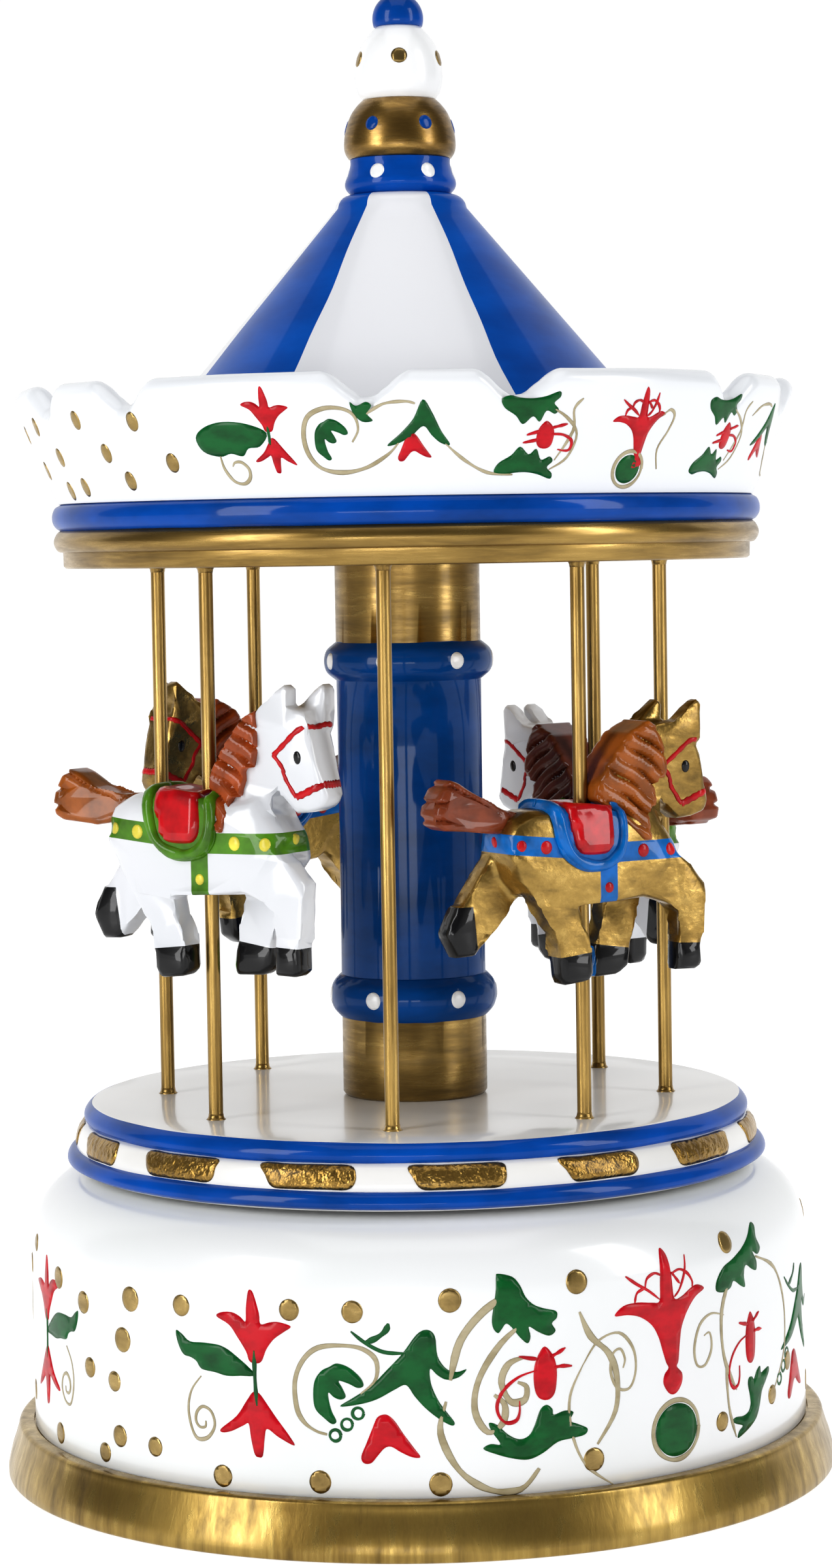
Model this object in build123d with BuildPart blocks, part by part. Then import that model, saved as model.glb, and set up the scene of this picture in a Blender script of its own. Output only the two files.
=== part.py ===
"""Carousel music box in painted wood, with a spring-driven comb movement in its base.

Millimetres, +Z up. The origin is the middle of the plinth's underside, on the axis that the carousel turns
about. -Y is the front. Every piece is written to parts/ as its own STEP.
"""

import os
from math import cos, pi, radians, sin

from build123d import *

RISING = (Align.CENTER, Align.CENTER, Align.MIN)  # solids stand on the height they are placed at
HANGING = (Align.CENTER, Align.CENTER, Align.MAX)  # or hang from it

# ---- driving dimensions ------------------------------------------------------------------------
# base
PLINTH_R, PLINTH_H = 60.0, 7.8
PLINTH_BORE_R = 49.6
BODY_R, BODY_Z, BODY_TOP, SHOULDER_R = 56.0, 7.3, 43.8, 9.5
SEAT_GAP = 0.25  # round the body, where it drops into the plinth
CAVITY_R, CAVITY_TOP = 46.0, 37.6
BOARD_R, BOARD_Z, BOARD_T = 49.3, 10.0, 4.0
BOARD_TOP = BOARD_Z + BOARD_T

# turning platform
PLATFORM_Z, PLATFORM_TOP = 44.6, 53.6
PLATFORM_R, PLATFORM_TOP_R = 50.4, 46.5

# column between platform and canopy
COLUMN_R, BEAD_R, BEAD_H = 10.45, 12.1, 5.8
LOWER_BEAD_Z, UPPER_BEAD_Z = 68.0, 116.3
TENON_R, TENON_H = 5.0, 5.0

# canopy
CANOPY_Z, CANOPY_TOP = 130.4, 139.5
CANOPY_R, CANOPY_STEP_R = 50.6, 49.3
CROWN_R, CROWN_TOP, CROWN_FOOT_R = 55.7, 155.9, 49.9
CROWN_WALL = 3.6
NOTCH_PAIRS, NOTCH_SPREAD, NOTCH_R, NOTCH_DEPTH, FIRST_LOBE = 6, 10.6, 6.3, 3.9, -84.5
ROOF_FOOT_R, ROOF_TOP_R, ROOF_TOP = 44.6, 7.4, 182.9
ROOF_KNEE_R, ROOF_KNEE_Z = 9.4, 181.0

# finial, four beads on one dowel
COLLAR_TOP, DOME_TOP, EGG_TOP = 188.0, 196.4, 206.8
DOME_R, DOME_Z = 8.0, 190.2
EGG_R, EGG_Z = 6.1, 199.7
BALL_R, BALL_Z = 3.2, 208.4
DOWEL_R, DOWEL_IN_ROOF = 1.5, 10.0

# poles and horses
POLE_COUNT, POLE_R, POLE_RING_R, FIRST_POLE = 8, 1.0, 36.3, -5.0
POLE_SINK = 4.0  # how deep each end is let into the platform and the canopy
POLE_STEP = 360 / POLE_COUNT
HORSE_TURNS = [0, 0, 18, -12]  # how far each horse is turned on its pole from the way it travels
HORSE_LIFTS = [-3.6, 0.6, 1.0, -1.0]  # how far each horse is glued above the common height

# drive line on the middle axis
SPINDLE_R, RUNNING_FIT = 1.5, 0.05
SPINDLE_TOP = 60.0
ARBOR_R = 2.0
KEY_Z = 1.8

# movement: a bedplate on the board, with the cylinder lying along +X
BED_T, BED_EDGE_R = 1.6, 44.8
BED_TOP = BOARD_TOP + BED_T
CROWN_WHEEL_Z, CROWN_WHEEL_T, CROWN_FLANGE_R = 17.0, 1.0, 13.5
CROWN_WHEEL_R, CROWN_WHEEL_TEETH, CROWN_TOOTH_H = 12.6, 36, 1.2
BARREL_R, BARREL_TOP, BARREL_WALL = 9.5, 28.0, 0.8
BARREL_Z = CROWN_WHEEL_Z + CROWN_WHEEL_T
CYLINDER_TEETH = 18
CYLINDER_PITCH_R = CROWN_WHEEL_R * CYLINDER_TEETH / CROWN_WHEEL_TEETH
AXIS_Z = BARREL_Z + 0.7 + CYLINDER_PITCH_R  # height of the cylinder's axis
CYLINDER_R, CYLINDER_X0, CYLINDER_X1 = 6.0, 16.4, 36.4
PIN_R, PIN_H, PIN_COUNT = 0.22, 0.5, 40
COMB_TEETH, COMB_PITCH, COMB_X0 = 18, 1.08, 17.22
SHAFT_R, GOVERNOR_SHAFT_R, FAN_SHAFT_R = 0.8, 0.6, 0.5
SPUR_MODULE, END_WHEEL_TEETH, PINION_TEETH = 0.4, 42, 14
END_WHEEL_X, END_WHEEL_T = 37.2, 1.2
GOVERNOR_Y = SPUR_MODULE * (END_WHEEL_TEETH + PINION_TEETH) / 2
WORM_WHEEL_TEETH, WORM_WHEEL_R, WORM_X = 16, 3.2, 30.0
WORM_LEAD = 2 * pi * WORM_WHEEL_R / WORM_WHEEL_TEETH
WORM_R, WORM_ROOT_R = 1.75, 0.95
WORM_Y = GOVERNOR_Y + WORM_WHEEL_R + (WORM_R + WORM_ROOT_R) / 2

os.makedirs("parts", exist_ok=True)


def keep(piece, name):
    """Label a finished piece and write its STEP."""
    piece.part.label = name
    export_step(piece.part, f"parts/{name}.step")


def spot(radius, angle, z=0.0):
    """A point on a circle about the middle axis."""
    return (radius * cos(radians(angle)), radius * sin(radians(angle)), z)


# ---- base --------------------------------------------------------------------------------------
# The plinth is a turned ring. Its outside leans in and rounds over, and the body drops into a shallow rebate.
with BuildPart() as plinth_ring:
    with BuildSketch(Plane.XZ):
        with BuildLine():
            Polyline((PLINTH_BORE_R, 0), (PLINTH_R - 0.4, 0), (PLINTH_R, 0.4), (PLINTH_R, 1.4))
            Spline((PLINTH_R, 1.4), (59.3, 4.2), (58.5, 6.9), tangents=[(0, 1), (-0.35, 1)])
            ThreePointArc((58.5, 6.9), (58.2, 7.6), (57.7, PLINTH_H))
            rebate_r = BODY_R + SEAT_GAP
            Polyline((57.7, PLINTH_H), (rebate_r, PLINTH_H), (rebate_r, BODY_Z), (PLINTH_BORE_R, BODY_Z))
            Line((PLINTH_BORE_R, BODY_Z), (PLINTH_BORE_R, 0))
        make_face()
    revolve(axis=Axis.Z)
keep(plinth_ring, "plinth_ring")

# The body is a turned cup, open below. A step inside carries the board.
SCREW_RING_R, BOARD_SCREW_R, SCREW_COUNT = 47.7, 0.9, 4
BUSH_R, BUSH_FLANGE_R, BUSH_FLANGE_T = 3.0, 4.5, 0.4
with BuildPart() as base_body:
    with BuildSketch(Plane.XZ):
        with BuildLine():
            shoulder_z = BODY_TOP - SHOULDER_R
            Polyline((PLINTH_BORE_R, BODY_Z), (BODY_R, BODY_Z), (BODY_R, shoulder_z))
            RadiusArc((BODY_R, shoulder_z), (BODY_R - SHOULDER_R, BODY_TOP), -SHOULDER_R)
            Polyline(
                (BODY_R - SHOULDER_R, BODY_TOP), (BUSH_R, BODY_TOP), (BUSH_R, CAVITY_TOP),
                (CAVITY_R, CAVITY_TOP), (CAVITY_R, BOARD_TOP), (PLINTH_BORE_R, BOARD_TOP),
                (PLINTH_BORE_R, BODY_Z),
            )
        make_face()
    revolve(axis=Axis.Z)
    with Locations(Plane.XY.offset(BOARD_TOP)):
        with PolarLocations(SCREW_RING_R, SCREW_COUNT, start_angle=45):
            Cylinder(BOARD_SCREW_R, 6, align=RISING, mode=Mode.SUBTRACT)
keep(base_body, "base_body")

# The board closes the base from below and carries the movement. The key's arbor comes down through it.
ARBOR_HOLE_R, HEAD_R, HEAD_T = 3.5, 1.7, 1.1
BED_SCREWS = [(-11, -16), (-11, 16), (11, -19), (14, 17), (36.5, -11)]
BED_SCREW_R, BED_SCREW_H = 1.0, 3.2
with BuildPart() as bottom_board:
    with Locations((0, 0, BOARD_Z)):
        Cylinder(BOARD_R, BOARD_T, align=RISING)
    chamfer(bottom_board.faces().sort_by(Axis.Z)[0].edges(), 0.5)
    with Locations((0, 0, BOARD_Z)):
        Cylinder(ARBOR_HOLE_R, BOARD_T, align=RISING, mode=Mode.SUBTRACT)
        with PolarLocations(SCREW_RING_R, SCREW_COUNT, start_angle=45):
            Cylinder(BOARD_SCREW_R, BOARD_T, align=RISING, mode=Mode.SUBTRACT)
            Cone(HEAD_R, BOARD_SCREW_R, HEAD_T, align=RISING, mode=Mode.SUBTRACT)
    with Locations(Plane.XY.offset(BOARD_TOP)):
        with Locations(*BED_SCREWS):
            Cylinder(BED_SCREW_R, BED_SCREW_H, align=HANGING, mode=Mode.SUBTRACT)
keep(bottom_board, "bottom_board")

with BuildPart() as board_screws:
    with Locations(Plane.XY.offset(BOARD_Z)):
        with PolarLocations(SCREW_RING_R, SCREW_COUNT, start_angle=45):
            Cylinder(BOARD_SCREW_R, BOARD_T + 6, align=RISING)
            Cone(HEAD_R, BOARD_SCREW_R, HEAD_T, align=RISING)
            Box(2.4, 0.4, 0.5, align=RISING, mode=Mode.SUBTRACT)
keep(board_screws, "board_screws")

# Brass bush that the spindle runs in. Its flange is the platform's thrust washer.
with BuildPart() as spindle_bush:
    with Locations((0, 0, CAVITY_TOP)):
        Cylinder(BUSH_R, BODY_TOP - CAVITY_TOP, align=RISING)
    with Locations((0, 0, BODY_TOP)):
        Cylinder(BUSH_FLANGE_R, BUSH_FLANGE_T, align=RISING)
    Cylinder(SPINDLE_R + RUNNING_FIT, 2 * BODY_TOP + 10, mode=Mode.SUBTRACT)
keep(spindle_bush, "spindle_bush")


# ---- turning platform and column ---------------------------------------------------------------
def pole_sockets(z):
    """Blind holes for the pole ends, from height z upwards."""
    with Locations(Plane.XY.offset(z)):
        with PolarLocations(POLE_RING_R, POLE_COUNT, start_angle=FIRST_POLE):
            Cylinder(POLE_R, POLE_SINK, align=RISING, mode=Mode.SUBTRACT)


# A turned disc: a plain lip below, a round blue rim, a bulging band set back, and a second smaller rim.
with BuildPart() as platform:
    with BuildSketch(Plane.XZ):
        with BuildLine():
            Polyline((SPINDLE_R, PLATFORM_Z), (49.2, PLATFORM_Z))
            ThreePointArc((49.2, PLATFORM_Z), (PLATFORM_R, 45.6), (49.2, 47.5))
            ThreePointArc((49.2, 47.5), (48.75, 49.2), (47.3, 50.6))
            ThreePointArc((47.3, 50.6), (47.45, 52.0), (PLATFORM_TOP_R, PLATFORM_TOP))
            Polyline((PLATFORM_TOP_R, PLATFORM_TOP), (SPINDLE_R, PLATFORM_TOP), (SPINDLE_R, PLATFORM_Z))
        make_face()
    revolve(axis=Axis.Z)
    pole_sockets(PLATFORM_TOP - POLE_SINK)
keep(platform, "platform")

NUT_FLATS, NUT_T = 5.5, 2.4
with BuildPart() as spindle_nut:
    with BuildSketch(Plane.XY.offset(PLATFORM_TOP)):
        RegularPolygon(NUT_FLATS / 2, 6, major_radius=False)
        Circle(SPINDLE_R, mode=Mode.SUBTRACT)
    extrude(amount=NUT_T)
keep(spindle_nut, "spindle_nut")


def bead(z):
    """Half-round moulding about the column at height z."""
    with BuildSketch(Plane.XZ) as profile:
        with BuildLine():
            Line((COLUMN_R - 1, z - BEAD_H / 2), (COLUMN_R, z - BEAD_H / 2))
            ThreePointArc((COLUMN_R, z - BEAD_H / 2), (BEAD_R, z), (COLUMN_R, z + BEAD_H / 2))
            Polyline(
                (COLUMN_R, z + BEAD_H / 2), (COLUMN_R - 1, z + BEAD_H / 2), (COLUMN_R - 1, z - BEAD_H / 2)
            )
        make_face()
    revolve(profile.sketch, axis=Axis.Z)


NUT_POCKET_R, NUT_POCKET_H = 3.5, 3.0
with BuildPart() as column:
    with Locations((0, 0, PLATFORM_TOP)):
        Cylinder(COLUMN_R, CANOPY_Z - PLATFORM_TOP, align=RISING)
    fillet(column.faces().sort_by(Axis.Z)[0].edges(), 0.5)
    bead(LOWER_BEAD_Z)
    bead(UPPER_BEAD_Z)
    with Locations((0, 0, CANOPY_Z)):
        Cylinder(TENON_R, TENON_H, align=RISING)
    with Locations((0, 0, PLATFORM_TOP)):
        Cylinder(NUT_POCKET_R, NUT_POCKET_H, align=RISING, mode=Mode.SUBTRACT)
        Cylinder(
            SPINDLE_R, SPINDLE_TOP - PLATFORM_TOP, align=RISING, mode=Mode.SUBTRACT
        )
keep(column, "column")

# ---- canopy ------------------------------------------------------------------------------------
# A turned disc with a square step, a gold round and a blue round, bored below for the poles and the column.
with BuildPart() as canopy_disc:
    with BuildSketch(Plane.XZ):
        with BuildLine():
            Polyline((0, CANOPY_Z), (CANOPY_STEP_R, CANOPY_Z), (CANOPY_STEP_R, 132.6))
            ThreePointArc((CANOPY_STEP_R, 132.6), (CANOPY_R, 134.2), (49.7, 135.75))
            ThreePointArc((49.7, 135.75), (CANOPY_R + 0.1, 137.6), (49.7, CANOPY_TOP))
            Polyline((49.7, CANOPY_TOP), (0, CANOPY_TOP), (0, CANOPY_Z))
        make_face()
    revolve(axis=Axis.Z)
    with Locations((0, 0, CANOPY_Z)):
        Cylinder(TENON_R, TENON_H, align=RISING, mode=Mode.SUBTRACT)
    pole_sockets(CANOPY_Z)
keep(canopy_disc, "canopy_disc")

# The crown is a flared ring with a rounded lip. Round notches cut across the lip leave flat-topped scallops,
# a narrow one and a wide one by turns.
LIP_R = 2.2
with BuildPart() as crown:
    with BuildSketch(Plane.XZ):
        with BuildLine():
            outer_z = CROWN_TOP - LIP_R
            Line((CROWN_FOOT_R - 0.2, CANOPY_TOP), (CROWN_R, outer_z - 0.6))
            ThreePointArc(
                (CROWN_R, outer_z - 0.6), (CROWN_R - 0.6, outer_z + 1.5), (CROWN_R - LIP_R, CROWN_TOP)
            )
            ThreePointArc(
                (CROWN_R - LIP_R, CROWN_TOP), (CROWN_R - 3.6, CROWN_TOP - 0.5), (CROWN_R - 4.3, outer_z - 0.4)
            )
            Polyline(
                (CROWN_R - 4.3, outer_z - 0.4), (CROWN_FOOT_R - CROWN_WALL, CANOPY_TOP),
                (CROWN_FOOT_R - 0.2, CANOPY_TOP),
            )
        make_face()
    revolve(axis=Axis.Z)
    for number in range(2 * NOTCH_PAIRS):
        lobe = FIRST_LOBE + number // 2 * 360 / NOTCH_PAIRS
        angle = lobe + (NOTCH_SPREAD if number % 2 else -NOTCH_SPREAD)
        outward = Plane(
            origin=spot(CROWN_R, angle, CROWN_TOP - NOTCH_DEPTH + NOTCH_R), z_dir=spot(1, angle)
        )
        with Locations(outward):
            Cylinder(NOTCH_R, 16, mode=Mode.SUBTRACT)
keep(crown, "crown")

with BuildPart() as roof_cone:
    with BuildSketch(Plane.XZ):
        with BuildLine():
            Polyline(
                (0, CANOPY_TOP), (ROOF_FOOT_R, CANOPY_TOP), (ROOF_KNEE_R, ROOF_KNEE_Z),
                (ROOF_TOP_R, ROOF_TOP), (DOWEL_R, ROOF_TOP), (DOWEL_R, ROOF_TOP - DOWEL_IN_ROOF),
                (0, ROOF_TOP - DOWEL_IN_ROOF), (0, CANOPY_TOP),
            )
        make_face()
    revolve(axis=Axis.Z)
keep(roof_cone, "roof_cone")

# ---- finial ------------------------------------------------------------------------------------
with BuildPart() as finial_collar:
    with BuildSketch(Plane.XZ):
        with BuildLine():
            Polyline((DOWEL_R, ROOF_TOP), (7.0, ROOF_TOP))
            Spline((7.0, ROOF_TOP), (7.9, 184.7), (6.9, COLLAR_TOP), tangents=[(1, 0.5), (-0.2, 1)])
            Polyline((6.9, COLLAR_TOP), (DOWEL_R, COLLAR_TOP), (DOWEL_R, ROOF_TOP))
        make_face()
    revolve(axis=Axis.Z)
keep(finial_collar, "finial_collar")


def turned_bead(radius, centre_z, half_height, low, high):
    """An upright ellipse turned about the axis, cut flat at two heights and bored for the dowel."""
    with BuildSketch(Plane.XZ) as profile:
        with Locations((0, centre_z)):
            Ellipse(radius, half_height)
        with Locations((radius, (low + high) / 2)):
            Rectangle(2 * radius, high - low, mode=Mode.INTERSECT)
        with Locations((0, (low + high) / 2)):
            Rectangle(2 * DOWEL_R, high - low, mode=Mode.SUBTRACT)
    revolve(profile.sketch, axis=Axis.Z)


with BuildPart() as finial_dome:
    turned_bead(DOME_R, DOME_Z, DOME_R, COLLAR_TOP, DOME_TOP)
keep(finial_dome, "finial_dome")

with BuildPart() as finial_egg:
    turned_bead(EGG_R, EGG_Z, 8.0, DOME_TOP, EGG_TOP)
keep(finial_egg, "finial_egg")

with BuildPart() as finial_ball:
    with Locations((0, 0, BALL_Z)):
        Sphere(BALL_R)
    split(bisect_by=Plane.XY.offset(EGG_TOP), keep=Keep.TOP)
    with Locations((0, 0, EGG_TOP)):
        Cylinder(DOWEL_R, BALL_Z - EGG_TOP, align=RISING, mode=Mode.SUBTRACT)
keep(finial_ball, "finial_ball")

with BuildPart() as finial_dowel:
    with Locations((0, 0, ROOF_TOP - DOWEL_IN_ROOF)):
        Cylinder(DOWEL_R, BALL_Z - ROOF_TOP + DOWEL_IN_ROOF, align=RISING)
keep(finial_dowel, "finial_dowel")

# ---- poles -------------------------------------------------------------------------------------
for number in range(POLE_COUNT):
    with BuildPart() as pole:
        with Locations(spot(POLE_RING_R, FIRST_POLE + number * POLE_STEP, PLATFORM_TOP - POLE_SINK)):
            Cylinder(
                POLE_R, CANOPY_Z - PLATFORM_TOP + 2 * POLE_SINK, align=RISING
            )
    keep(pole, f"pole_{number + 1}")

# ---- horses ------------------------------------------------------------------------------------
# Each horse is carved facing local +X, with the pole's axis at local zero and heights as on the carousel.
BODY_HALF, NECK_HALF = 4.3, 2.9
LEG_T, LEG_OUT = 3.4, 0.9  # a leg's thickness, and how far its inner face is from the middle


def slab(outline, near, far):
    """A flat piece sawn to an outline in the horse's side view, between two distances from its middle."""
    with BuildSketch(Plane.XZ.offset(-far)) as side:
        with BuildLine():
            Polyline(*outline, close=True)
        make_face()
    extrude(side.sketch, amount=far - near)


barrel_outline = [
    (-14.2, 92.0), (-13.6, 95.4), (-10.6, 97.2), (-4, 96.6), (3, 96.6), (8, 96.8), (12.6, 93.2), (13.4, 89.4),
    (10.6, 85.6), (5, 84.0), (-4, 83.8), (-10.5, 85.6), (-13.4, 88.4),
]
neck_outline = [
    (3.2, 92), (3.6, 99.5), (6.4, 105.2), (10.4, 108.6), (15.4, 109.2), (17.0, 111.2), (18.2, 108.6),
    (18.8, 106.2), (21.2, 98.4), (20.6, 96.2), (18.0, 95.6), (15.4, 98.6), (12.0, 99.4), (11.6, 95.6),
    (12.6, 92),
]
front_right = [(8.5, 90.5), (13.2, 90), (18.9, 86.4), (18.6, 83.6), (17.2, 78), (17.2, 73.4), (13.2, 73.4),
               (13.6, 78), (14.4, 82.4), (9.4, 84.6)]
front_left = [(6, 90), (12.4, 89), (11.4, 83), (9.8, 78), (10.2, 72.8), (5.8, 72.8), (6.4, 78), (6.2, 84)]
hind_right = [(-12.6, 91), (-5.6, 90), (-3.4, 84), (-2.4, 78), (-1.2, 76.4), (-1.2, 72.8), (-5.8, 72.8),
              (-6.4, 77.4), (-9.0, 83.8)]
hind_left = [(-13.2, 92), (-8, 90), (-10.4, 85), (-15.2, 80.6), (-17.6, 77.2), (-21.2, 79.6), (-20.2, 84.2),
             (-16.6, 86.4), (-14, 89)]
tail_outline = [(-12.8, 95.8), (-17.4, 97.0), (-22.0, 100.2), (-24.6, 98.6), (-25.0, 95.2), (-22, 93.2),
                (-17, 93.0), (-13.6, 93.4)]
TAIL_HALF = 2.3

with BuildPart() as horse_blank:
    slab(barrel_outline, -BODY_HALF, BODY_HALF)
    fillet(horse_blank.faces().filter_by(Axis.Y).edges(), 1.8)
    slab(neck_outline, -NECK_HALF, NECK_HALF)
    slab(front_right, -LEG_OUT - LEG_T, -LEG_OUT)
    slab(front_left, LEG_OUT, LEG_OUT + LEG_T)
    slab(hind_right, -LEG_OUT - LEG_T, -LEG_OUT)
    slab(hind_left, LEG_OUT, LEG_OUT + LEG_T)
    Cylinder(POLE_R, 4 * CANOPY_Z, mode=Mode.SUBTRACT)

with BuildPart() as tail_blank:
    slab(tail_outline, -TAIL_HALF, TAIL_HALF)
    fillet(tail_blank.faces().filter_by(Axis.Y).edges(), 0.7)
    add(horse_blank.part, mode=Mode.SUBTRACT)

for number in range(POLE_COUNT // 2):
    angle = FIRST_POLE + (2 * number + 1) * POLE_STEP
    heading = angle + 90 + HORSE_TURNS[number]
    place = Location(spot(POLE_RING_R, angle, HORSE_LIFTS[number]), (0, 0, heading))
    with BuildPart() as horse:
        with Locations(place):
            add(horse_blank.part)
    keep(horse, f"horse_{number + 1}")
    with BuildPart() as horse_tail:
        with Locations(place):
            add(tail_blank.part)
    keep(horse_tail, f"horse_tail_{number + 1}")

# ---- movement: bedplate and what stands on it --------------------------------------------------
with BuildPart() as bedplate:
    with BuildSketch(Plane.XY.offset(BOARD_TOP)):
        with Locations((12.5, 0.5)):
            RectangleRounded(56, 46, 3)
        Circle(BED_EDGE_R, mode=Mode.INTERSECT)
        Circle(ARBOR_R + RUNNING_FIT, mode=Mode.SUBTRACT)
        with Locations(*BED_SCREWS):
            Circle(BED_SCREW_R, mode=Mode.SUBTRACT)
    extrude(amount=BED_T)
keep(bedplate, "bedplate")

with BuildPart() as bed_screws:
    with Locations(Plane.XY.offset(BED_TOP)):
        with Locations(*BED_SCREWS):
            Cylinder(BED_SCREW_R, BED_SCREW_H + BED_T, align=HANGING)
            Cylinder(1.8, 1.0, align=RISING)
            with Locations((0, 0, 0.6)):
                Box(4, 0.4, 0.5, align=RISING, mode=Mode.SUBTRACT)
keep(bed_screws, "bed_screws")


def bearing_plate(x, thickness, y_low, y_high, top, holes):
    """An upright plate across the bedplate, from x onwards, bored for shafts along X at (y, radius)."""
    with BuildSketch(Plane(origin=(x, 0, 0), x_dir=(0, 1, 0), z_dir=(1, 0, 0))) as face:
        with Locations(((y_low + y_high) / 2, (BED_TOP + top) / 2)):
            Rectangle(y_high - y_low, top - BED_TOP)
        chamfer(face.vertices().group_by(Axis.Z)[-1], 1.2)
        for y, radius in holes:
            with Locations((y, AXIS_Z)):
                Circle(radius + RUNNING_FIT, mode=Mode.SUBTRACT)
    extrude(face.sketch, amount=thickness)


BRACKET_T, BRACKET_TOP = 1.2, AXIS_Z + 2.6
INNER_BRACKET_X, GOVERNOR_BRACKET_X, OUTER_BRACKET_X = 14.2, 26.4, 39.0
with BuildPart() as inner_bracket:
    bearing_plate(INNER_BRACKET_X, BRACKET_T, -3.2, 3.2, BRACKET_TOP, [(0, SHAFT_R)])
keep(inner_bracket, "inner_bracket")

with BuildPart() as outer_bracket:
    bearing_plate(
        OUTER_BRACKET_X, BRACKET_T, -3.2, GOVERNOR_Y + 2.4, BRACKET_TOP,
        [(0, SHAFT_R), (GOVERNOR_Y, GOVERNOR_SHAFT_R)],
    )
keep(outer_bracket, "outer_bracket")

with BuildPart() as governor_bracket:
    bearing_plate(
        GOVERNOR_BRACKET_X, BRACKET_T, GOVERNOR_Y - 2.4, GOVERNOR_Y + 2.4, BRACKET_TOP,
        [(GOVERNOR_Y, GOVERNOR_SHAFT_R)],
    )
keep(governor_bracket, "governor_bracket")

# The fan's frame is a C that holds the worm shaft at both ends.
FRAME_TOP, FRAME_BACK, FRAME_T, FRAME_W = 36.2, 22.6, 1.2, 4.0
with BuildPart() as fan_frame:
    with BuildSketch(Plane(origin=(WORM_X - FRAME_W / 2, 0, 0), x_dir=(0, 1, 0), z_dir=(1, 0, 0))):
        with BuildLine():
            front_y, back_y = WORM_Y - 2, FRAME_BACK - FRAME_T
            Polyline(
                (front_y, BED_TOP), (FRAME_BACK, BED_TOP), (FRAME_BACK, FRAME_TOP), (front_y, FRAME_TOP),
                (front_y, FRAME_TOP - FRAME_T), (back_y, FRAME_TOP - FRAME_T), (back_y, BED_TOP + FRAME_T),
                (front_y, BED_TOP + FRAME_T), close=True,
            )
        make_face()
    extrude(amount=FRAME_W)
    with Locations((WORM_X, WORM_Y, FRAME_TOP / 2)):
        Cylinder(FAN_SHAFT_R + RUNNING_FIT, FRAME_TOP, mode=Mode.SUBTRACT)
keep(fan_frame, "fan_frame")

# The comb lies level with the cylinder's axis, its tips just off the pins, on a block with three screws.
COMB_T, COMB_TIP_Y, COMB_ROOT_Y, COMB_BACK_Y = 0.8, -6.75, -15.6, -22.0
COMB_GAP, COMB_STEP = 0.35, 0.16
COMB_SCREW_R, COMB_SCREW_H = 0.9, 4.0
comb_x1 = COMB_X0 + (COMB_TEETH - 1) * COMB_PITCH
comb_mid_x = (COMB_X0 + comb_x1) / 2
comb_width = comb_x1 - COMB_X0 + COMB_PITCH
comb_screw_places = [(comb_mid_x + side * 7.6, (COMB_ROOT_Y + COMB_BACK_Y) / 2 - 0.6) for side in (-1, 0, 1)]
comb_low = AXIS_Z - COMB_T / 2
with BuildPart() as comb_block:
    with BuildSketch(Plane.XY.offset(BED_TOP)):
        with Locations((comb_mid_x, (COMB_ROOT_Y + COMB_BACK_Y) / 2 - 0.3)):
            Rectangle(comb_width, COMB_ROOT_Y - COMB_BACK_Y - 0.6)
    extrude(amount=comb_low - BED_TOP)
    with Locations(Plane.XY.offset(comb_low)):
        with Locations(*comb_screw_places):
            Cylinder(
                COMB_SCREW_R, COMB_SCREW_H, align=HANGING, mode=Mode.SUBTRACT
            )
keep(comb_block, "comb_block")

with BuildPart() as comb:
    with BuildSketch(Plane.XY.offset(comb_low)):
        with Locations((comb_mid_x, (COMB_TIP_Y + COMB_BACK_Y) / 2)):
            Rectangle(comb_width, COMB_TIP_Y - COMB_BACK_Y)
        for number in range(COMB_TEETH - 1):
            root_y = COMB_ROOT_Y + 1.2 + COMB_STEP * number
            with Locations((COMB_X0 + (number + 0.5) * COMB_PITCH, (COMB_TIP_Y + root_y) / 2)):
                Rectangle(COMB_GAP, COMB_TIP_Y - root_y, mode=Mode.SUBTRACT)
        with Locations(*comb_screw_places):
            Circle(COMB_SCREW_R, mode=Mode.SUBTRACT)
    extrude(amount=COMB_T)
keep(comb, "comb")

with BuildPart() as comb_screws:
    with Locations(Plane.XY.offset(comb_low + COMB_T)):
        with Locations(*comb_screw_places):
            Cylinder(COMB_SCREW_R, COMB_SCREW_H + COMB_T, align=HANGING)
            Cylinder(1.7, 0.9, align=RISING)
            with Locations((0, 0, 0.5)):
                Box(4, 0.4, 0.5, align=RISING, mode=Mode.SUBTRACT)
keep(comb_screws, "comb_screws")

# ---- winding ------------------------------------------------------------------------------------
ARBOR_LOW, ARBOR_TOP, COLLAR_R = 3.6, 26.4, 3.2
with BuildPart() as winding_arbor:
    with Locations((0, 0, ARBOR_LOW)):
        Cylinder(ARBOR_R, ARBOR_TOP - ARBOR_LOW, align=RISING)
    with Locations((0, 0, BED_TOP + RUNNING_FIT)):
        Cylinder(
            COLLAR_R, CROWN_WHEEL_Z - BED_TOP - 2 * RUNNING_FIT, align=RISING
        )
keep(winding_arbor, "winding_arbor")

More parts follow.
